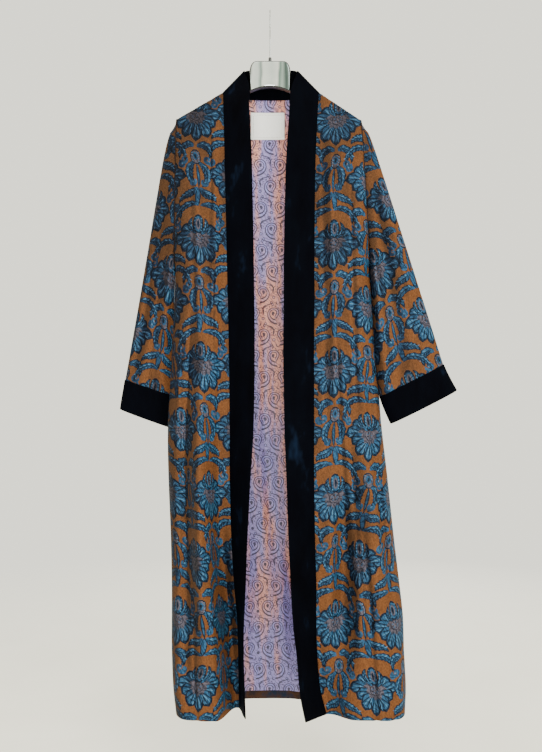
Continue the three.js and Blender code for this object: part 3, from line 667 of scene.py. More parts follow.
def damask_over(low, high, start, least=0.0):
    """The figures whose middles are in or near a flat box, in the order they are woven. Shapes
    smaller than the least size are left out."""
    groups = []
    first = [math.floor((low[k] - start[k]) / REPEAT[k]) - 1 for k in (0, 1)]
    last = [math.ceil((high[k] - start[k]) / REPEAT[k]) + 2 for k in (0, 1)]
    for j in range(first[1], last[1]):
        for i in range(first[0], last[0]):
            for k in (0, 1):
                middle = np.array(start) + np.array(REPEAT) * (i + k / 2, j + k / 2)
                if np.all(middle > np.array(low) - (70, 210)) and np.all(middle < np.array(high) + 80):
                    groups.append([
                        (tone, middle + p * (1, -1))
                        for tone, p in FLOWERS[k]
                        if np.ptp(p, axis=0).min() >= least
                    ])
    return groups


def line(points, half, n=8):
    """A stroke of even width."""
    return blade(bezier(points, n), 0.0, grow=half)


def paisley():
    """The lining's paisley: nested drops with a curled tip, a scalloped edge and sprigs."""
    drop = np.concatenate([
        bezier([(15, -30), (-14, -30), (-34, 0), (-16, 24)], 9),
        bezier([(-16, 24), (-6, 36), (22, 34), (22, 14)], 8)[1:],
        bezier([(22, 14), (22, -2), (2, -4), (15, -30)], 8)[1:-1],
    ])
    middle = np.array([-1.0, 12.0])
    shapes = []
    for tone, scale in ((1, 1.0), (3, 0.84), (1, 0.64), (0, 0.5), (1, 0.24)):
        shapes.append((tone, middle + (drop - middle) * scale))
    shapes += [(1, line([(15, -30), (22, -36), (28, -28), (22, -21)], 2.0, 5))]
    for k in range(9):
        angle = -0.5 + k * 0.42
        base = middle + np.array([math.cos(angle), math.sin(angle)]) * (25, 22)
        tick = base + np.array([math.cos(angle + 0.5), math.sin(angle + 0.5)]) * 6
        shapes.append((1, line([base, (base + tick) / 2, tick], 1.9, 3)))
    shapes += [(1, line([(-36, -22), (-20, -42), (-4, -30), (4, -46)], 2.0, 6))]
    shapes += [(1, line([(-36, 10), (-44, 26), (-30, 38), (-20, 34)], 2.0, 6))]
    shapes += [(1, line([(30, 2), (42, 12), (34, 30), (24, 34)], 2.0, 5))]
    for x, y, size in ((33, -8, 6), (-28, -26, 5), (-2, 42, 5)):
        shapes += [(1, dot(x, y, size, 7)), (3, dot(x, y, size - 2.4, 6))]
    return shapes


def paisley_over(low, high):
    groups = []
    drop, figure = (42, 45), [(tone, 0.6 * p) for tone, p in paisley()]
    bold = [(tone, p) for tone, p in figure if np.ptp(p, axis=0).min() > 4]
    for j in range(int(low[1] // drop[1]) - 1, int(high[1] // drop[1]) + 2):
        for i in range(int(low[0] // drop[0]) - 1, int(high[0] // drop[0]) + 2):
            flip = -1 if j % 2 else 1
            middle = np.array([drop[0] * (i + 0.5 * (j % 2)), drop[1] * j])
            shown = figure if abs(middle[0]) < 75 else bold
            groups.append([(tone, middle + p * (flip, -1)) for tone, p in shown])
    return groups


def lattice_in(outline, step):
    """Points inside a panel, close together across it, where its folds bend, and wider down it."""
    low, high = outline.min(0), outline.max(0)
    down = np.arange(low[1], high[1] + step, step * 2)
    sx, sy = np.meshgrid(np.arange(low[0], high[0] + step, step), down)
    sx = sx + (np.arange(len(down)) % 2)[:, None] * step / 2
    points = np.stack([sx.ravel(), sy.ravel()], -1)
    return points[inside_strip(outline, points)]


def triangulated(outline, groups, step):
    """Flat triangles of a panel, cut along its figures: points, triangles and their tones."""
    low, high = outline.min(0), outline.max(0)
    points, edges = [outline], []
    count = len(outline)
    edges += [(i, (i + 1) % count) for i in range(count)]
    near = 2.0
    for group in groups:
        for _, polygon in group:
            n = len(polygon)
            if np.any(polygon.max(0) < low - near) or np.any(polygon.min(0) > high + near):
                continue
            points.append(polygon)
            edges += [(count + i, count + (i + 1) % n) for i in range(n)]
            count += n
    points.append(lattice_in(outline, step))
    flat = np.concatenate(points)
    made = delaunay_2d_cdt([Vector(p) for p in flat], edges, [], 0, 1e-4, False)
    st = np.array([tuple(p) for p in made[0]])
    faces = np.array([f for f in made[2] if len(f) == 3])
    middles = st[faces].mean(1)
    keep = inside_strip(outline, middles)
    faces, middles = faces[keep], middles[keep]
    tones = np.zeros(len(faces), int)
    for group in groups:
        corners = np.concatenate([p for _, p in group])
        box = np.all((middles > corners.min(0)) & (middles < corners.max(0)), 1)
        index = np.nonzero(box)[0]
        if not len(index):
            continue
        for tone, polygon in group:
            within = np.all((middles[index] > polygon.min(0)) & (middles[index] < polygon.max(0)), 1)
            some = index[within]
            if len(some):
                tones[some[inside(polygon, middles[some])]] = tone
    used, faces = np.unique(faces, return_inverse=True)
    return st[used], faces.reshape(-1, 3), tones


def inside_strip(outline, points):
    """inside(), in slices so that it needs little memory."""
    found = np.zeros(len(points), bool)
    for start in range(0, len(points), 20000):
        part = slice(start, start + 20000)
        found[part] = inside(outline, points[part])
    return found


# ------------------------------------------------------------------ meshes


def new_object(name, points, faces, materials):
    mesh = bpy.data.meshes.new(name)
    mesh.from_pydata((np.asarray(points) * MM).tolist(), [], [tuple(int(i) for i in f) for f in faces])
    mesh.update()
    for material in materials:
        mesh.materials.append(material)
    mesh.polygons.foreach_set("use_smooth", np.full(len(mesh.polygons), True))
    piece = bpy.data.objects.new(name, mesh)
    bpy.context.scene.collection.objects.link(piece)
    return piece


def faced_out(piece, crease=None):
    """Turns a mesh's faces outwards. Edges that bend by more than crease, in degrees, stay sharp."""
    made = bmesh.new()
    made.from_mesh(piece.data)
    bmesh.ops.recalc_face_normals(made, faces=made.faces)
    if crease is not None:
        for edge in made.edges:
            edge.smooth = edge.calc_face_angle(0) < math.radians(crease)
    made.to_mesh(piece.data)
    made.free()
    return piece


def bar_faces(rings, around, base=0):
    """The faces of a bar whose points lie in rings: its wall, then its two ends."""
    faces = []
    for ring in range(rings - 1):
        for k in range(around):
            a = base + ring * around + k
            b = base + ring * around + (k + 1) % around
            faces.append((a, b, b + around, a + around))
    faces.append(tuple(range(base, base + around))[::-1])
    faces.append(tuple(range(base + (rings - 1) * around, base + rings * around)))
    return faces


def finished(piece, slot, *nodes):
    """Rides a piece on the body and hides the nodes that it replaces. slot is not used."""
    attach(piece, "root")
    if nodes:
        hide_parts(*nodes)
    return piece


def sides_of(face):
    return (face[0], face[1]), (face[1], face[2]), (face[2], face[0])


def figured_shell(name, cut, groups, thickness, materials, step=5.0):
    """A panel of figured cloth: its face cut along the figures, its plain other side, and the
    rim between them. The middle of the wall follows the cut's surface. Gives the piece and its
    flat area in square metres."""
    st, faces, tones = triangulated(cut.outline, groups, step)
    counts = {}
    for face in faces:
        for a, b in sides_of(face):
            counts.setdefault((min(a, b), max(a, b)), []).append((a, b))
    rim = [pairs[0] for pairs in counts.values() if len(pairs) == 1]
    edge = sorted({i for pair in rim for i in pair})
    local = {v: i for i, v in enumerate(edge)}
    flat = np.concatenate([st[edge], lattice_in(cut.outline, step)])
    links = [(local[a], local[b]) for a, b in rim]
    made = delaunay_2d_cdt([Vector(p) for p in flat], links, [], 0, 1e-6, True)
    back_st = np.array([tuple(p) for p in made[0]])
    back_faces = np.array([f for f in made[2] if len(f) == 3])
    back_faces = back_faces[inside_strip(cut.outline, back_st[back_faces].mean(1))]
    where = {}
    for i, origins in enumerate(made[3]):
        for o in origins:
            where.setdefault(o, i)
    outer, outer_normal = cut.place(st, thickness / 2)
    inner, inner_normal = cut.place(back_st, -thickness / 2)
    n = len(st)
    winding = outward(outer, outer_normal, faces)
    fronts = [tuple(f) if w else tuple(f[::-1]) for f, w in zip(faces, winding)]
    winding = outward(inner, -inner_normal, back_faces)
    backs = [tuple(f + n) if w else tuple((f + n)[::-1]) for f, w in zip(back_faces, winding)]
    ordered = {side for face in fronts for side in sides_of(face)}
    rims = []
    for a, b in rim:
        if (a, b) not in ordered:
            a, b = b, a
        rims.append((b, a, n + where[local[a]], n + where[local[b]]))
    piece = new_object(name, np.concatenate([outer, inner]), fronts + backs + rims, materials)
    mesh = piece.data
    tone = np.zeros(len(mesh.polygons), np.float32)
    tone[: len(fronts)] = tones
    mesh.attributes.new("tone", "FLOAT", "FACE").data.foreach_set("value", tone)
    if len(materials) > 1:
        reverse = np.ones(len(mesh.polygons), np.int32)
        reverse[: len(fronts)] = 0
        mesh.polygons.foreach_set("material_index", reverse)
    flat_layout(mesh, st, back_st, n, len(fronts), len(backs), thickness)
    # how far each point faces +x; the damask's painted light and shade are mixed by it
    lit = np.concatenate([outer_normal[:, 0], -inner_normal[:, 0]]).astype(np.float32)
    mesh.attributes.new("facing", "FLOAT", "POINT").data.foreach_set("value", lit)
    doubled = np.cross(st[faces[:, 1]] - st[faces[:, 0]], st[faces[:, 2]] - st[faces[:, 0]])
    return piece, np.sum(np.abs(doubled)) / 2 * MM * MM


def outward(points, normals, faces):
    """Which triangles already face the way of their normals."""
    a, b, c = (points[faces[:, k]] for k in range(3))
    return np.sum(np.cross(b - a, c - a) * normals[faces].mean(1), 1) > 0


def flat_layout(mesh, st, back_st, n, fronts, backs, thickness):
    """A UV map with the face and the other side laid flat, side by side."""
    low, high = st.min(0), st.max(0)
    size = high - low
    gap = 12.0
    scale = 0.98 / max(2 * size[0] + 3 * gap, size[1] + 2 * gap)
    flat = np.concatenate([st - low + gap, back_st - low + (size[0] + 2 * gap, gap)]) * scale
    flat[:, 1] = 1 - flat[:, 1]
    layer = mesh.uv_layers.new(name="OFBake")
    corners = np.zeros(len(mesh.loops), np.int32)
    mesh.loops.foreach_get("vertex_index", corners)
    uv = flat[corners]
    first_rim = 3 * (fronts + backs)
    quads = corners[first_rim:].reshape(-1, 4)
    middle = flat[:n].mean(0)
    for k, other in ((2, 1), (3, 0)):
        base = flat[quads[:, other]]
        uv[first_rim + k :: 4] = base + unit(base - middle) * thickness * scale
    layer.data.foreach_set("uv", uv.astype(np.float32).ravel())


def grid_shell(name, points, normals, thickness, materials, wrap=False, edge=2):
    """A closed wall round a grid of points, with rounded rims. A wrapped one is a tube."""
    rows, columns = points.shape[:2]
    size = rows * columns
    index = np.arange(size).reshape(rows, columns)
    flat_points, flat_normals = points.reshape(-1, 3), normals.reshape(-1, 3)
    turns = np.linspace(0, math.pi, edge + 2)
    layers = [flat_points + flat_normals * (thickness / 2) * math.cos(a) for a in (0, math.pi)]
    faces, rims = [], []
    for r in range(rows - 1):
        for c in range(columns if wrap else columns - 1):
            a, b = index[r, c], index[r, (c + 1) % columns]
            d, e = index[r + 1, c], index[r + 1, (c + 1) % columns]
            faces.append((a, b, e, d))
            faces.append((size + a, size + d, size + e, size + b))

    def rim(line, outwards):
        """Rounds the wall's edge along a closed line of the grid's points."""
        rings = [line]
        for turn in turns[1:-1]:
            bulge = outwards * (thickness / 2) * math.sin(turn)
            rings.append(np.arange(len(line)) + 2 * size + len(rims))
            rims.extend(flat_points[line] + flat_normals[line] * (thickness / 2) * math.cos(turn) + bulge)
        rings.append(line + size)
        for one, two in zip(rings, rings[1:]):
            for i in range(len(line)):
                j = (i + 1) % len(line)
                faces.append((one[j], one[i], two[i], two[j]))

    if wrap:
        rim(index[0], unit(points[0] - points[1]))
        rim(index[-1][::-1], unit(points[-1] - points[-2])[::-1])
    else:
        border = np.concatenate([index[0, :-1], index[:-1, -1], index[-1, :0:-1], index[:0:-1, 0]])
        away = np.zeros_like(points)
        away[0] += unit(points[0] - points[1])
        away[-1] += unit(points[-1] - points[-2])
        away[:, 0] += unit(points[:, 0] - points[:, 1])
        away[:, -1] += unit(points[:, -1] - points[:, -2])
        rim(border, unit(away.reshape(-1, 3)[border]))
    verts = np.concatenate([*layers, np.array(rims).reshape(-1, 3)])
    return faced_out(new_object(name, verts, faces, materials))


def grid_normals(points, facing, wrap=False):
    if wrap:
        across = np.roll(points, -1, 1) - np.roll(points, 1, 1)
    else:
        across = np.gradient(points, axis=1)
    return unit(np.cross(across, np.gradient(points, axis=0)) * facing)


# ------------------------------------------------------------------ materials


class Finish:
    """A material and a short way to add nodes to it."""

    def __init__(self, name):
        self.material = bpy.data.materials.new(name)
        self.material.use_nodes = True
        self.tree = self.material.node_tree
        self.surface = self.tree.nodes["Principled BSDF"]

    def node(self, kind, inputs=None, output=0, **settings):
        made = self.tree.nodes.new(kind)
        for key, value in settings.items():
            setattr(made, key, value)
        for key, value in (inputs or {}).items():
            self.put(made.inputs[key], value)
        return made.outputs[output]

    def put(self, socket, value):
        if isinstance(value, bpy.types.NodeSocket):
            self.tree.links.new(value, socket)
        else:
            socket.default_value = value

    def set(self, **values):
        for key, value in values.items():
            self.put(self.surface.inputs[key.replace("_", " ")], value)

    def place(self):
        return self.node("ShaderNodeTexCoord", output=3)

    def noise(self, scale, detail=3.0, stretch=(1, 1, 1), rough=0.55):
        moved = self.node("ShaderNodeMapping", {"Vector": self.place(), "Scale": stretch})
        inputs = {"Vector": moved, "Scale": scale, "Detail": detail, "Roughness": rough}
        return self.node("ShaderNodeTexNoise", inputs)

    def along(self, axis):
        """The place along x (0), y (1) or z (2), in metres."""
        return self.node("ShaderNodeSeparateXYZ", {"Vector": self.place()}, output=axis)

    def tone(self):
        """The tone that each face of a figured cloth is cut in, and its place on a ramp."""
        tone = self.node("ShaderNodeAttribute", attribute_name="tone", output=2)
        return tone, self.maths("ADD", self.maths("DIVIDE", tone, TONES), 0.5 / TONES)

    def by_tone(self, place, colours):
        """One flat colour for each tone."""
        return self.ramp(place, [(k / TONES, colour) for k, colour in enumerate(colours)], True)

    def ramp(self, factor, stops, constant=False):
        out = self.node("ShaderNodeValToRGB", {"Fac": factor})
        band = out.node.color_ramp
        band.interpolation = "CONSTANT" if constant else "LINEAR"
        while len(band.elements) < len(stops):
            band.elements.new(0.5)
        for element, (place, colour) in zip(band.elements, stops):
            element.position = place
            element.color = (*colour, 1) if len(colour) == 3 else colour
        return out

    def mixed(self, factor, a, b, blend="MIX"):
        out = self.node("ShaderNodeMix", data_type="RGBA", blend_type=blend, output=2)
        made = out.node
        for key, value in ((0, factor), (6, a), (7, b)):
            self.put(made.inputs[key], value if not isinstance(value, tuple) else (*value, 1))
        return out

    def maths(self, operation, a, b=0.0, clamp=False):
        made = self.node("ShaderNodeMath", operation=operation, use_clamp=clamp).node
        self.put(made.inputs[0], a)
        self.put(made.inputs[1], b)
        return made.outputs[0]

    def flecked(self, colour, amount, scale, low, high, stretch=(1, 1, 1)):
        """A colour with fine flecks. low and high are each a place on the ramp and its grey."""
        fleck = self.noise(scale, 2.0, stretch)
        greys = self.ramp(fleck, [(place, (grey, grey, grey)) for place, grey in (low, high)])
        return self.mixed(amount, colour, greys, "OVERLAY")

    def bump(self, height, strength, distance):
        inputs = {"Height": height, "Strength": strength, "Distance": distance}
        return self.node("ShaderNodeBump", inputs)

    def wave(self, scale, direction, distortion, detail, detail_scale):
        inputs = {"Vector": self.place(), "Scale": scale, "Distortion": distortion}
        inputs.update({"Detail": detail, "Detail Scale": detail_scale})
        return self.node("ShaderNodeTexWave", inputs, 1, wave_type="BANDS", bands_direction=direction)

    def curls(self, scale):
        """Fine lines that curl about one another, as an engraver's would."""
        return self.wave(scale, "DIAGONAL", 16.0, 1.5, 0.9)

    def weave(self, across, down):
        """Fine threads that cross, as a height."""
        threads = [self.wave(scale, way, 1.5, 1.0, 2.0) for scale, way in ((across, "X"), (down, "Z"))]
        return self.maths("MULTIPLY", *threads)


def rgb(r, g, b):
    """A colour as the eye names it, from 0 to 255, in the renderer's linear values."""
    return tuple(((v / 255 + 0.055) / 1.055) ** 2.4 if v > 10 else v / 255 / 12.92 for v in (r, g, b))


def damask_finish():
    """Damask's face: each tone has a painted shade colour and a painted light colour. The mix leans to the
    light one where the cloth faces +x, in random patches, and lower down.
    """
    f = Finish("damask")
    tone, place = f.tone()
    facing = f.node("ShaderNodeAttribute", attribute_name="facing", output=2)
    shade = (rgb(60, 39, 23), rgb(42, 38, 42), rgb(8, 13, 21), rgb(16, 28, 44), rgb(36, 56, 74))
    light = (rgb(88, 54, 29), rgb(70, 66, 74), rgb(16, 27, 40), rgb(34, 66, 92), rgb(58, 95, 119))
    drift = f.noise(22.0, 3.0, (1.3, 1.0, 0.6))
    # painted light and shade: facing, random patches and height choose between the shaded and the lit
    # colours
    turned = f.maths("ADD", f.maths("MULTIPLY", facing, 1.1), f.maths("MULTIPLY", drift, 1.9))
    turned = f.maths("SUBTRACT", turned, f.maths("MULTIPLY", f.along(2), 0.7))
    turned = f.maths("SUBTRACT", turned, 0.85, clamp=True)
    colour = f.mixed(turned, f.by_tone(place, shade), f.by_tone(place, light))
    figure = f.maths("GREATER_THAN", tone, 0.5)
    lines = f.ramp(f.curls(46.0), [(0.12, (0.34, 0.36, 0.4)), (0.5, (1, 1, 1))])
    colour = f.mixed(f.maths("MULTIPLY", figure, 0.8), colour, lines, "MULTIPLY")
    threads = f.maths("MULTIPLY", f.weave(900.0, 700.0), 0.35)
    f.set(
        Base_Color=f.flecked(colour, 0.45, 420.0, (0.36, 0.28), (0.62, 0.74), (1, 1, 0.6)),
        Roughness=f.maths("SUBTRACT", 0.74, f.maths("MULTIPLY", figure, 0.16)),
        Specular_IOR_Level=0.05,
        Normal=f.bump(f.maths("ADD", threads, f.maths("MULTIPLY", figure, 0.6)), 0.35, 0.0006),
    )
    return f.material


def reverse_finish():
    """Damask's other side, where the figures' threads float loose. It is painted dark, close to the face's
    shade colours, as painted shade.
    """
    f = Finish("damask_reverse")
    figure = f.noise(26.0, 4.0, (1, 1, 0.7))
    # painted shade: dark browns and blues near the face's shaded colours
    colour = f.ramp(figure, [(0.42, rgb(34, 28, 30)), (0.5, rgb(56, 36, 24)), (0.62, rgb(24, 32, 46))])
    f.set(
        Base_Color=f.flecked(colour, 0.4, 500.0, (0.35, 0.3), (0.65, 0.7)),
        Roughness=0.75,
        Specular_IOR_Level=0.05,
        Normal=f.bump(f.weave(900.0, 700.0), 0.3, 0.0006),
    )
    return f.material


def velvet_finish():
    f = Finish("velvet")
    brushed_pile_and_sheen = f.noise(16.0, 3.0, (1.4, 1.4, 0.6), 0.65)
    # painted sheen: the lighter blue patches stand for the pile's blue highlights where it is brushed; the
    # same noise also raises the pile in the bump
    colour = f.ramp(brushed_pile_and_sheen, [(0.3, rgb(1, 1, 3)), (0.62, rgb(2, 3, 7)), (0.8, rgb(9, 19, 34))])
    pile = f.noise(900.0, 2.0)
    height = f.maths("ADD", f.maths("MULTIPLY", brushed_pile_and_sheen, 0.8), f.maths("MULTIPLY", pile, 0.25))
    f.set(
        Base_Color=colour,
        Roughness=0.85,
        Specular_IOR_Level=0.02,
        Sheen_Weight=0.012,
        Sheen_Roughness=0.3,
        Sheen_Tint=(*rgb(86, 128, 170), 1),
        Normal=f.bump(height, 0.5, 0.0015),
    )
    return f.material


def lining_finish():
    """Shot satin: its figures in warm and in cool colours, which change over in long upright streaks. The
    pale cool streaks are partly painted sheen, with more of them lower down, and the whole lining is
    darkened towards the hem with painted shade.
    """
    f = Finish("lining")
    _, place = f.tone()
    warm = (rgb(212, 142, 122), rgb(70, 32, 42), rgb(234, 186, 166), rgb(192, 138, 142))
    cool = (rgb(140, 128, 182), rgb(42, 34, 70), rgb(198, 186, 220), rgb(142, 136, 198))
    height = f.along(2)
    # painted sheen: the pale cool streaks stand partly for the satin's lilac highlights, and more of them
    # lie lower down
    shot_and_sheen = f.noise(9.0, 2.5, (4.6, 1.0, 0.5))
    shot_and_sheen = f.maths("SUBTRACT", shot_and_sheen, f.maths("MULTIPLY", f.maths("ADD", height, 0.8), 0.12))
    shot_and_sheen = f.ramp(shot_and_sheen, [(0.42, (0, 0, 0)), (0.58, (1, 1, 1))])
    colour = f.mixed(shot_and_sheen, f.by_tone(place, warm), f.by_tone(place, cool))
    lines = f.ramp(f.curls(58.0), [(0.08, (0.5, 0.42, 0.5)), (0.42, (1, 1, 1))])
    colour = f.mixed(0.8, colour, lines, "MULTIPLY")
    # painted shade: the lining is darkened towards the hem, as the inside of the robe is shaded
    raised = f.maths("ADD", height, 1.5)
    within = f.ramp(raised, [(0.0, (0.6, 0.62, 0.72)), (0.5, (0.8, 0.8, 0.84)), (1.0, (1, 1, 1))])
    colour = f.mixed(1.0, colour, within, "MULTIPLY")
    f.set(
        Base_Color=f.flecked(colour, 0.35, 520.0, (0.35, 0.3), (0.65, 0.72)),
        Roughness=0.42,
        Specular_IOR_Level=0.5,
        Sheen_Weight=0.15,
        Normal=f.bump(f.weave(1100.0, 900.0), 0.25, 0.0004),
    )
    return f.material


def label_finish():
    f = Finish("label")
    f.set(
        Base_Color=f.ramp(f.noise(700.0, 2.0), [(0.3, rgb(246, 244, 236)), (0.7, rgb(254, 254, 250))]),
        Roughness=0.6,
        Sheen_Weight=0.1,
        Normal=f.bump(f.weave(1500.0, 1300.0), 0.35, 0.0004),
    )
    return f.material


def thread_finish(name, colour):
    f = Finish(name)
    twist = f.noise(1500.0, 1.0)
    low = tuple(0.7 * v for v in colour)
    f.set(
        Base_Color=f.ramp(twist, [(0.35, low), (0.65, colour)]),
        Roughness=0.85,
        Specular_IOR_Level=0.04,
        Normal=f.bump(twist, 0.4, 0.0003),
    )
    return f.material


def chrome_finish(name, reflection_bands=False, dull_and_shade=1.0):
    """Polished metal, darker and rougher where its dullness is under 1; on the plate's bevelled rim that
    darkness is painted shade. One with bands carries painted reflections:
    soft upright light and dark bands, as a bright room would leave on it."""
    f = Finish(name)
    smear = f.noise(30.0, 3.0)
    low, high = ([v * dull_and_shade for v in grey] for grey in ((226, 230, 227), (244, 246, 242)))
    colour = f.ramp(smear, [(0.3, rgb(*low)), (0.7, rgb(*high))])
    if reflection_bands:
        # painted reflections: soft upright light and dark bands across the plate
        wander = f.maths("MULTIPLY", f.noise(18.0, 2.0, (1, 1, 0.5)), 0.22)
        place = f.maths("ADD", f.maths("MULTIPLY", f.along(0), 11.0), 0.39)
        painted_reflections = f.ramp(f.maths("ADD", place, wander), [
            (0.03, rgb(120, 130, 128)), (0.1, rgb(240, 245, 245)), (0.24, rgb(226, 234, 234)),
            (0.31, rgb(142, 160, 158)), (0.35, rgb(244, 248, 247)), (0.52, rgb(226, 234, 233)),
            (0.64, rgb(248, 249, 248)), (0.7, rgb(112, 140, 132)), (0.77, rgb(170, 188, 182)),
            (0.86, rgb(58, 82, 78)), (0.94, rgb(124, 140, 136)),
        ])
        colour = f.mixed(0.95, colour, painted_reflections, "MULTIPLY")
    f.set(
        Base_Color=colour,
        Metallic=1.0,
        Roughness=f.maths("ADD", f.maths("MULTIPLY", smear, 0.08), 0.08 + 0.3 * (1 - dull_and_shade)),
        Normal=f.bump(f.noise(220.0, 1.0), 0.02, 0.0002),
    )
    return f.material


def plastic_finish():
    f = Finish("hanger_arms")
    grain = f.noise(300.0, 2.0)
    f.set(
        Base_Color=f.ramp(grain, [(0.3, rgb(28, 28, 30)), (0.7, rgb(42, 42, 44))]),
        Roughness=0.45,
        Normal=f.bump(grain, 0.15, 0.0003),
    )
    return f.material


DAMASK = damask_finish()
REVERSE = reverse_finish()
VELVET_PILE = velvet_finish()
SATIN = lining_finish()
LABEL_WEAVE = label_finish()
CHROME = chrome_finish("chrome", dull_and_shade=0.8)
PLATE_CHROME = chrome_finish("plate_chrome", reflection_bands=True)
# painted shade: the plate's bevelled rim is in this far darker chrome; the ferrule shares it
RIM_CHROME = chrome_finish("rim_chrome", dull_and_shade=0.34)
PLASTIC = plastic_finish()
DARK_THREAD = thread_finish("dark_thread", rgb(34, 25, 22))
CREAM_THREAD = thread_finish("cream_thread", rgb(150, 138, 116))

# ------------------------------------------------------------------ the body

LEVELS = np.concatenate([np.arange(-160, -320, -3.0), np.arange(-320, HEM_Z, -7.0), [HEM_Z]])


def damask_panel(name, cut, start, nodes, least=0.0, step=5.0):
    """A panel of damask from its cut. start is where the middle of a flower lies on it."""
    low, high = cut.outline.min(0), cut.outline.max(0)
    figures = damask_over(low, high, start, least)
    piece, area = figured_shell(name, cut, figures, CLOTH, [DAMASK, REVERSE], step)
    finished(piece, "damask", *nodes)


for half, start in ((LEFT, (60, 216)), (RIGHT, (42, 226))):
    name = half["name"]
    shoulder = lambda u, half=half: front_top(half, u)[1]
    front = Cut(front_surface(half), LEVELS, -LEVELS, 0.0, half["side"], top=shoulder)
    damask_panel(f"front_{name}_cloth", front, start, [f"front_{name}"])
back = Cut(back_surface, LEVELS, -LEVELS, 0.5, -1, top=lambda u: back_top(u)[..., 2])
damask_panel("back_cloth", back, (0, 250), ["back"], least=6.5, step=9.0)

# ------------------------------------------------------------------ the neckband


def band_line(half):
    """The band on one side: its seam line and the way across it, from the middle of the back."""
    turns = np.linspace(math.pi / 2, 0 if half is LEFT else math.pi, 30)[:-1]
    seam = neck_point(turns)
    lean = BAND_LEAN * np.cos(turns) * np.abs(np.cos(turns))
    across = np.stack([lean, np.zeros_like(lean), np.sqrt(1 - lean**2)], -1)
    levels = np.concatenate([
        half["neck"][1] - RIDGE * (1 - np.cos(np.linspace(0, math.pi / 2, 7))),
        np.arange(half["neck"][1] - RIDGE - 5, HEM_Z, -7.0),
        [HEM_Z],
    ])
    front = front_surface(half)(np.zeros(len(levels)), levels)
    turn = np.radians(at(half["cuts"], "turn", levels))
    level = np.stack([-half["side"] * np.cos(turn), -np.sin(turn), np.zeros_like(turn)], -1)
    way = soft((half["neck"][1] - levels) / 45)[:, None]
    upright = np.array([-half["side"] * BAND_LEAN, 0, math.sqrt(1 - BAND_LEAN**2)])
    towards = unit(mix(upright[None, :], level, way))
    return np.concatenate([seam, front]), np.concatenate([across, towards])


RIPPLES = table(
    "wave height place phase",
    (210, 1.6, 0.3, 0.4),
    (140, 1.1, 0.75, 1.9),
    (83, 0.6, 0.5, 0.9),
)


def neckband(half):
    seam, across = band_line(half)
    shares = np.linspace(0, 1, 15)
    points = seam[:, None, :] + across[:, None, :] * (shares * BAND_WIDTH)[None, :, None]
    normals = grid_normals(points, half["side"])
    length = lengths_along(seam)
    ripple = np.zeros(points.shape[:2])
    for r in RIPPLES:
        near = np.exp(-(((shares - r["place"]) / 0.35) ** 2))[None, :]
        turn = length[:, None] / r["wave"] * 2 * math.pi + r["phase"] * (2 + half["side"])
        ripple += r["height"] * np.sin(turn) * near
    ripple *= soft((length[:, None] - 120) / 200) * np.sin(math.pi * shares)[None, :] ** 0.5
    points = points + normals * ripple[..., None]
    points[:, 0] += (points[:, 1] - points[:, 0]) / BAND_WIDTH * 14 * SEAM / 2
    name = half["name"]
    piece = grid_shell(f"neckband_{name}_velvet", points, normals, VELVET, [VELVET_PILE], edge=3)
    finished(piece, "velvet", f"neckband_{name}")


neckband(LEFT)
neckband(RIGHT)

# ------------------------------------------------------------------ lining and label


def lining_surface(u, z):
    normal = normals_of(back_surface, u, z, -1)
    return back_surface(u, z) - normal * (CLOTH / 2 + SEAM + LINING / 2)


lining_levels = LEVELS[LEVELS > HEM_Z + LINING_SHORT]
lining_levels = np.append(lining_levels, HEM_Z + LINING_SHORT)
lining = Cut(lining_surface, lining_levels, -lining_levels, 0.5, 1, top=lambda u: back_top(u)[..., 2] - 0.3)
low, high = lining.outline.min(0), lining.outline.max(0)
piece, area = figured_shell("lining_satin", lining, paisley_over(low, high), LINING, [SATIN], 8.0)
finished(piece, "lining", "lining_back")


def label_points():
    """A grid of points on the lining's surface where the label lies."""
    columns, rows = 15, 13
    us, vs = np.linspace(0, 1, columns), np.linspace(0, 1, rows)
    x0, width, top, height = LABEL["x"], LABEL["width"], LABEL["top"], LABEL["height"]
    search = np.linspace(0.2, 0.8, 400)
    grid = np.zeros((rows, columns, 3))
    for r, v in enumerate(vs):
        z = top - v * height
        line = lining_surface(search, np.full(400, z))
        u = np.interp(x0 - width / 2 + us * width, line[:, 0], search)
        grid[r] = lining_surface(u, np.full(columns, z))
    return grid


grid = label_points()
normals = grid_normals(grid, -1)
rise_down, rise_across = (np.sin(np.linspace(0, math.pi, count)) for count in grid.shape[:2])
swell = rise_down[:, None] * rise_across[None, :]
grid = grid + normals * (LINING * 1.2 + 0.9 * swell)[..., None]
label = grid_shell("label_woven", grid, normals, LINING, [LABEL_WEAVE], edge=1)
finished(label, "label", "label")


def stitches(name, line, normals, length, gap, thick, material, slot):
    """A row of short raised stitches along a line."""
    way = lengths_along(line)
    around = 5
    verts, faces = [], []
    for start in np.arange(gap / 2, way[-1] - length, length + gap):
        ends = np.array([start, start + length / 2, start + length])
        p = np.stack([np.interp(ends, way, line[:, k]) for k in range(3)], -1)
        n = unit(np.stack([np.interp(ends, way, normals[:, k]) for k in range(3)], -1))
        along = unit(p[2] - p[0])
        faces += bar_faces(len(ends), around, len(verts))
        for i, (lift, wide) in enumerate(((0.0, 0.4), (0.55, 1.0), (0.0, 0.4))):
            side = np.cross(along, n[i])
            for k in range(around):
                a = k / around * 2 * math.pi
                out = side * math.cos(a) * thick * wide + n[i] * math.sin(a) * thick * wide
                verts.append(p[i] + n[i] * lift * thick + out)
    finished(new_object(name, verts, faces, [material]), slot)


def border_of(grid, inset):
    """A grid's values a few points in from its edges, in order round it."""
    return np.concatenate([
        grid[inset, inset:-inset],
        grid[inset:-inset, -1 - inset],
        grid[-1 - inset, inset:-inset][::-1],
        grid[inset:-inset, inset][::-1],
    ])


raised = border_of(normals, 1)
sewn = border_of(grid, 1) + raised * (LINING / 2 + 0.05)
stitches("label_stitches", sewn, raised, 2.4, 1.0, 0.28, CREAM_THREAD, "label")

# ------------------------------------------------------------------ sleeves and cuffs


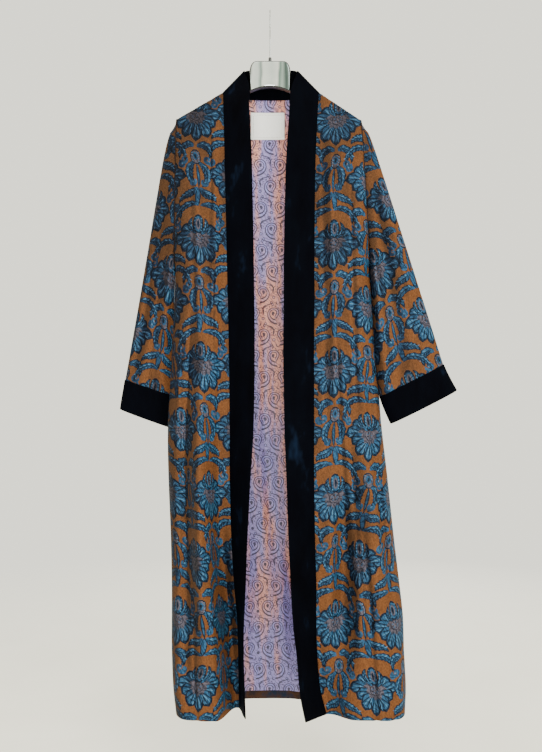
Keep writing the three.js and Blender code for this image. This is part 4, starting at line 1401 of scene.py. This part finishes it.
def sleeve_laid(half):
    """A sleeve's surface by its flat cut: u runs across, from the front's armhole and underarm
    (0) over the outer fold (0.5) to the back's (1), and v along the outer fold."""
    point = sleeve_surface(half)
    steps = np.linspace(0, 1, 241)
    underarm = np.array(inner_end(half, 0.0))
    armhole = mix(np.array(half["tip"], float)[None, :], underarm[None, :], steps[:, None])
    edge = np.stack(inner_end(half, steps), -1)
    path = np.concatenate([armhole, edge[1:]])
    length = lengths_along(path)
    length /= length[-1]

    def away(x, z, t):
        """How far a point lies to one side of the line across the sleeve at t."""
        (ox, oz), (ix, iz) = outer_end(half, t), inner_end(half, t)
        return (ix - ox) * (z - oz) - (iz - oz) * (x - ox), ox, oz, ix, iz

    past = np.sign(away(*half["sleeve"]["seam"]["outer"], 0.0)[0])

    def laid(u, v):
        u, v = np.broadcast_arrays(np.asarray(u, float), np.asarray(v, float))
        ox, oz = outer_end(half, v)
        share = (1 - np.cos(2 * math.pi * (u - 0.5))) / 2
        x = mix(ox, np.interp(v, length, path[:, 0]), share)
        z = mix(oz, np.interp(v, length, path[:, 1]), share)
        low, high = np.zeros_like(v), np.ones_like(v)
        for _ in range(26):
            t = (low + high) / 2
            beyond = away(x, z, t)[0] * past > 0
            low, high = np.where(beyond, t, low), np.where(beyond, high, t)
        t = (low + high) / 2
        _, ox, oz, ix, iz = away(x, z, t)
        across = np.hypot(x - ox, z - oz) / np.maximum(np.hypot(ix - ox, iz - oz), 1e-6)
        around = np.arccos(np.clip(1 - 2 * across, -1, 1)) / (2 * math.pi)
        return point(np.where(u < 0.5, around, 1 - around), t)

    return laid


def sleeve(half):
    laid = sleeve_laid(half)
    rows = 0.002 + 0.998 * np.linspace(0, 1, 110) ** 1.25
    line = laid(np.full(len(rows), 0.5), rows)
    cut = Cut(laid, rows, lengths_along(line), 0.5, 1, step=(2e-3, 2e-3))
    there, normal = cut.place(np.array([[40.0, 400.0]]))
    middle = laid(np.array([0.2, 0.8]), np.array([0.7, 0.7])).mean(0)
    if np.sum(normal * (there - middle)) < 0:
        cut.facing = -1
    return cut


def cuff(half):
    """A cuff: the end of the sleeve's tube in velvet, a little puckered where it is sewn on."""
    name = half["name"]
    around = np.linspace(0, 1, 97)[:-1]
    t = np.linspace(1, 2, 19)
    rings = sleeve_surface(half)(around[None, :], t[:, None])
    normals = grid_normals(rings, 1, wrap=True)
    middle = rings.mean(1, keepdims=True)
    if np.mean(np.sum(normals * (rings - middle), -1)) < 0:
        normals = -normals
    turn = around * 2 * math.pi
    pucker = 0.5 * np.sin(turn * 9 + 1.3)[None, :] * soft((1.35 - t) / 0.35)[:, None]
    pucker = pucker + 0.8 * np.sin(turn * 3 + half["side"])[None, :] * np.sin(t * 3.0)[:, None]
    rings = rings + normals * (pucker + 0.6)[..., None]
    rings[0] += (rings[1] - rings[0]) * 0.03
    piece = grid_shell(f"cuff_{name}_velvet", rings, normals, VELVET, [VELVET_PILE], wrap=True, edge=3)
    finished(piece, "velvet", f"cuff_{name}")


for half, start in ((LEFT, (70, 60)), (RIGHT, (60, 40))):
    name = half["name"]
    damask_panel(f"sleeve_{name}_cloth", sleeve(half), start, [f"sleeve_{name}"])
    cuff(half)

# ------------------------------------------------------------------ the hanger

PLATE = {"top": -104, "bottom": -168, "arch": 10, "half": 43, "top_half": 33, "depth": 20}


def plate_outline(inset):
    p = PLATE
    top, bottom, half = p["top"] - inset, p["bottom"] + inset, p["half"] - inset
    shoulder = p["top"] - 30
    arch = bezier([(-half, bottom), (0, bottom + 2 * p["arch"] - inset * 0.4), (half, bottom)], 21)
    right = bezier([(half, shoulder), (half, top), (p["top_half"] - 6, top)], 10)
    left = bezier([(6 - p["top_half"], top), (-half, top), (-half, shoulder)], 10)
    return np.concatenate([arch, right, left])


def hanger_plate():
    """The plate: rounded shoulders, an arched foot with a lip, and soft bevels all round."""
    bevel = ((4.2, -10.0), (3.0, -9.9), (1.6, -9.1), (0.5, -7.6), (0.0, -5.6))
    layers = [(plate_outline(inset), y) for inset, y in bevel]
    layers += [(outline, -y) for outline, y in layers[::-1]]
    verts = [(x, y, z) for outline, y in layers for x, z in outline]
    around = len(layers[0][0])
    faces = bar_faces(len(layers), around)
    piece = new_object("hanger_plate_metal", verts, faces, [PLATE_CHROME, RIM_CHROME])
    for face in piece.data.polygons:
        face.material_index = int(around <= face.index < (len(layers) - 2) * around)
    finished(faced_out(piece, crease=30), "chrome", "hanger_plate")


WIRE = 3
FERRULE_RISE = 9


def hook_line():
    """The middle of the hook's wire, from its foot in the ferrule up and over to its tip."""
    inside_ = 21
    radius = inside_ + WIRE / 2
    foot = PLATE["top"] + FERRULE_RISE + 2 * SEAM
    stem = -inside_ - radius * math.sqrt(2)
    points = [(0, 0, z) for z in np.linspace(foot, stem - 4, 12)]
    low, knee, high = (0, 0, stem - 4), (0, 0, stem), (0, 3, stem + 3)
    for t in (0.25, 0.5, 0.75):
        bend = zip(low, knee, high)
        points.append(tuple((1 - t) ** 2 * a + 2 * t * (1 - t) * b + t * t * c for a, b, c in bend))
    on = radius / math.sqrt(2)
    points += [(0, y, stem + y) for y in np.linspace(3, on, 8)[:-1]]
    for angle in np.linspace(-math.pi / 4, math.pi, 44):
        points.append((0, radius * math.cos(angle), radius * math.sin(angle) - inside_))
    points += [(0, -radius, -inside_ - d) for d in (4, 8, 12, 15)]
    return np.array(points)


def tube(name, line, radii, around, material):
    """A round bar along a line that stays nearly at one x, with a radius at each of its points."""
    line = np.asarray(line, float)
    side = np.array([1.0, 0, 0])
    verts = []
    for p, heading, r in zip(line, unit(np.gradient(line, axis=0)), radii):
        up = np.cross(heading, side)
        for k in range(around):
            a = k / around * 2 * math.pi
            verts.append(p + r * (side * math.cos(a) + up * math.sin(a)))
    return faced_out(new_object(name, verts, bar_faces(len(line), around), [material]), crease=50)


hanger_plate()
hook = hook_line()
wire = np.full(len(hook), WIRE / 2)
wire[-2:] = (1.35, 0.8)
finished(tube("hanger_hook_wire", hook, wire, 20, CHROME), "chrome", "hanger_hook")
profile = table(
    "rise radius",
    (0.0, 3.4),
    (0.4, 3.4),
    (4.0, 3.4),
    (4.3, 2.9),
    (4.7, 2.9),
    (5.0, 3.3),
    (7.0, 3.2),
    (8.2, 2.9),
    (FERRULE_RISE, 2.2),
)
turned = [(0, 0, PLATE["top"] + SEAM + row["rise"]) for row in profile]
ferrule = tube("hanger_ferrule_metal", turned, [row["radius"] for row in profile], 28, RIM_CHROME)
finished(ferrule, "chrome", "hanger_ferrule")
for node in ("hanger_arm_left", "hanger_arm_right"):
    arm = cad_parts[node]
    arm.data.materials.clear()
    arm.data.materials.append(PLASTIC)

for half in (LEFT, RIGHT):
    seam = sleeve_surface(half)(np.linspace(0.004, 1.004, 121), np.zeros(121))
    seam[:, 0] -= half["side"] * SEAM
    sewn = tube(f"armhole_seam_{half['name']}", seam, np.full(len(seam), 1.3), 6, DARK_THREAD)
    finished(sewn, "damask")

# ------------------------------------------------------------------ stage, light, camera


FLOOR_Z, FLOOR_RADIUS = -1.62, 2.6  # metres


def floor():
    """A pale round floor that fades out towards its rim."""
    count = 96
    turns = np.linspace(0, 2 * math.pi, count + 1)[:-1]
    verts = [(0, 0, FLOOR_Z)]
    verts += [(FLOOR_RADIUS * math.cos(a), FLOOR_RADIUS * math.sin(a), FLOOR_Z) for a in turns]
    faces = [(0, i + 1, (i + 1) % count + 1) for i in range(count)]
    piece = new_object("floor", np.array(verts) / MM, faces, [])
    f = Finish("pale_floor")
    colour = f.ramp(f.noise(3.0, 3.0), [(0.3, rgb(240, 237, 224)), (0.7, rgb(246, 243, 231))])
    across = f.node("ShaderNodeVectorMath", {0: f.place()}, output=1, operation="LENGTH")
    solid = f.ramp(f.maths("DIVIDE", across, 3.2), [(0.55, (1, 1, 1)), (0.93, (0, 0, 0))])
    f.set(Base_Color=colour, Roughness=0.9, Specular_IOR_Level=0.1, Alpha=solid)
    piece.data.materials.append(f.material)
    piece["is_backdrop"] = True


def area_light(name, location, target, size, power, colour=(1, 1, 1)):
    lamp = bpy.data.lights.new(name, "AREA")
    lamp.shape, lamp.size, lamp.size_y, lamp.energy = "RECTANGLE", size[0], size[1], power
    lamp.color = colour
    holder = bpy.data.objects.new(name, lamp)
    holder.location = location
    holder.visible_camera = False
    holder.rotation_euler = (Vector(target) - Vector(location)).to_track_quat("-Z", "Y").to_euler()
    bpy.context.scene.collection.objects.link(holder)


floor()
area_light("key", (1.3, -2.7, 0.4), (0.05, 0, -0.8), (1.4, 2.2), 70, (1.0, 0.99, 0.98))
area_light("fill", (-1.9, -2.2, -0.4), (0, 0, -0.9), (1.8, 2.4), 27, (0.95, 0.98, 1.0))
area_light("front", (0.0, -3.0, -1.25), (0, 0, -1.1), (1.2, 2.2), 100, (1.0, 0.995, 0.99))
area_light("top", (0, -0.9, 1.6), (0, 0.1, -0.6), (2.2, 1.2), 16)
area_light("behind", (0.6, 2.8, -0.3), (0, 0, -0.85), (1.8, 2.4), 60)
world = bpy.data.worlds.new("studio")
world.use_nodes = True
world.node_tree.nodes["Background"].inputs[0].default_value = (1.0, 0.98, 0.84, 1)
world.node_tree.nodes["Background"].inputs[1].default_value = 1.6
bpy.context.scene.world = world

# The camera is level. A pixel of the photo, 752 high, is 2.08 mm in the plane of the hanger.
PHOTO_HEIGHT, PIXEL, SENSOR = 752, 2.08 * MM, 24
CAMERA_X, CAMERA_AWAY, CAMERA_Z = PIXEL, 1.9, -0.7571
lens = bpy.data.cameras.new("camera")
lens.sensor_fit, lens.sensor_height, lens.sensor_width = "VERTICAL", SENSOR, SENSOR
lens.lens = SENSOR * CAMERA_AWAY / (PHOTO_HEIGHT * PIXEL)
lens.clip_start, lens.clip_end = 0.05, 50
camera = bpy.data.objects.new("camera", lens)
there = Matrix.Translation((CAMERA_X, -CAMERA_AWAY, CAMERA_Z))
camera.matrix_world = there @ Matrix.Rotation(math.pi / 2, 4, "X")
bpy.context.scene.collection.objects.link(camera)
bpy.context.scene.camera = camera

low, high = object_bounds()
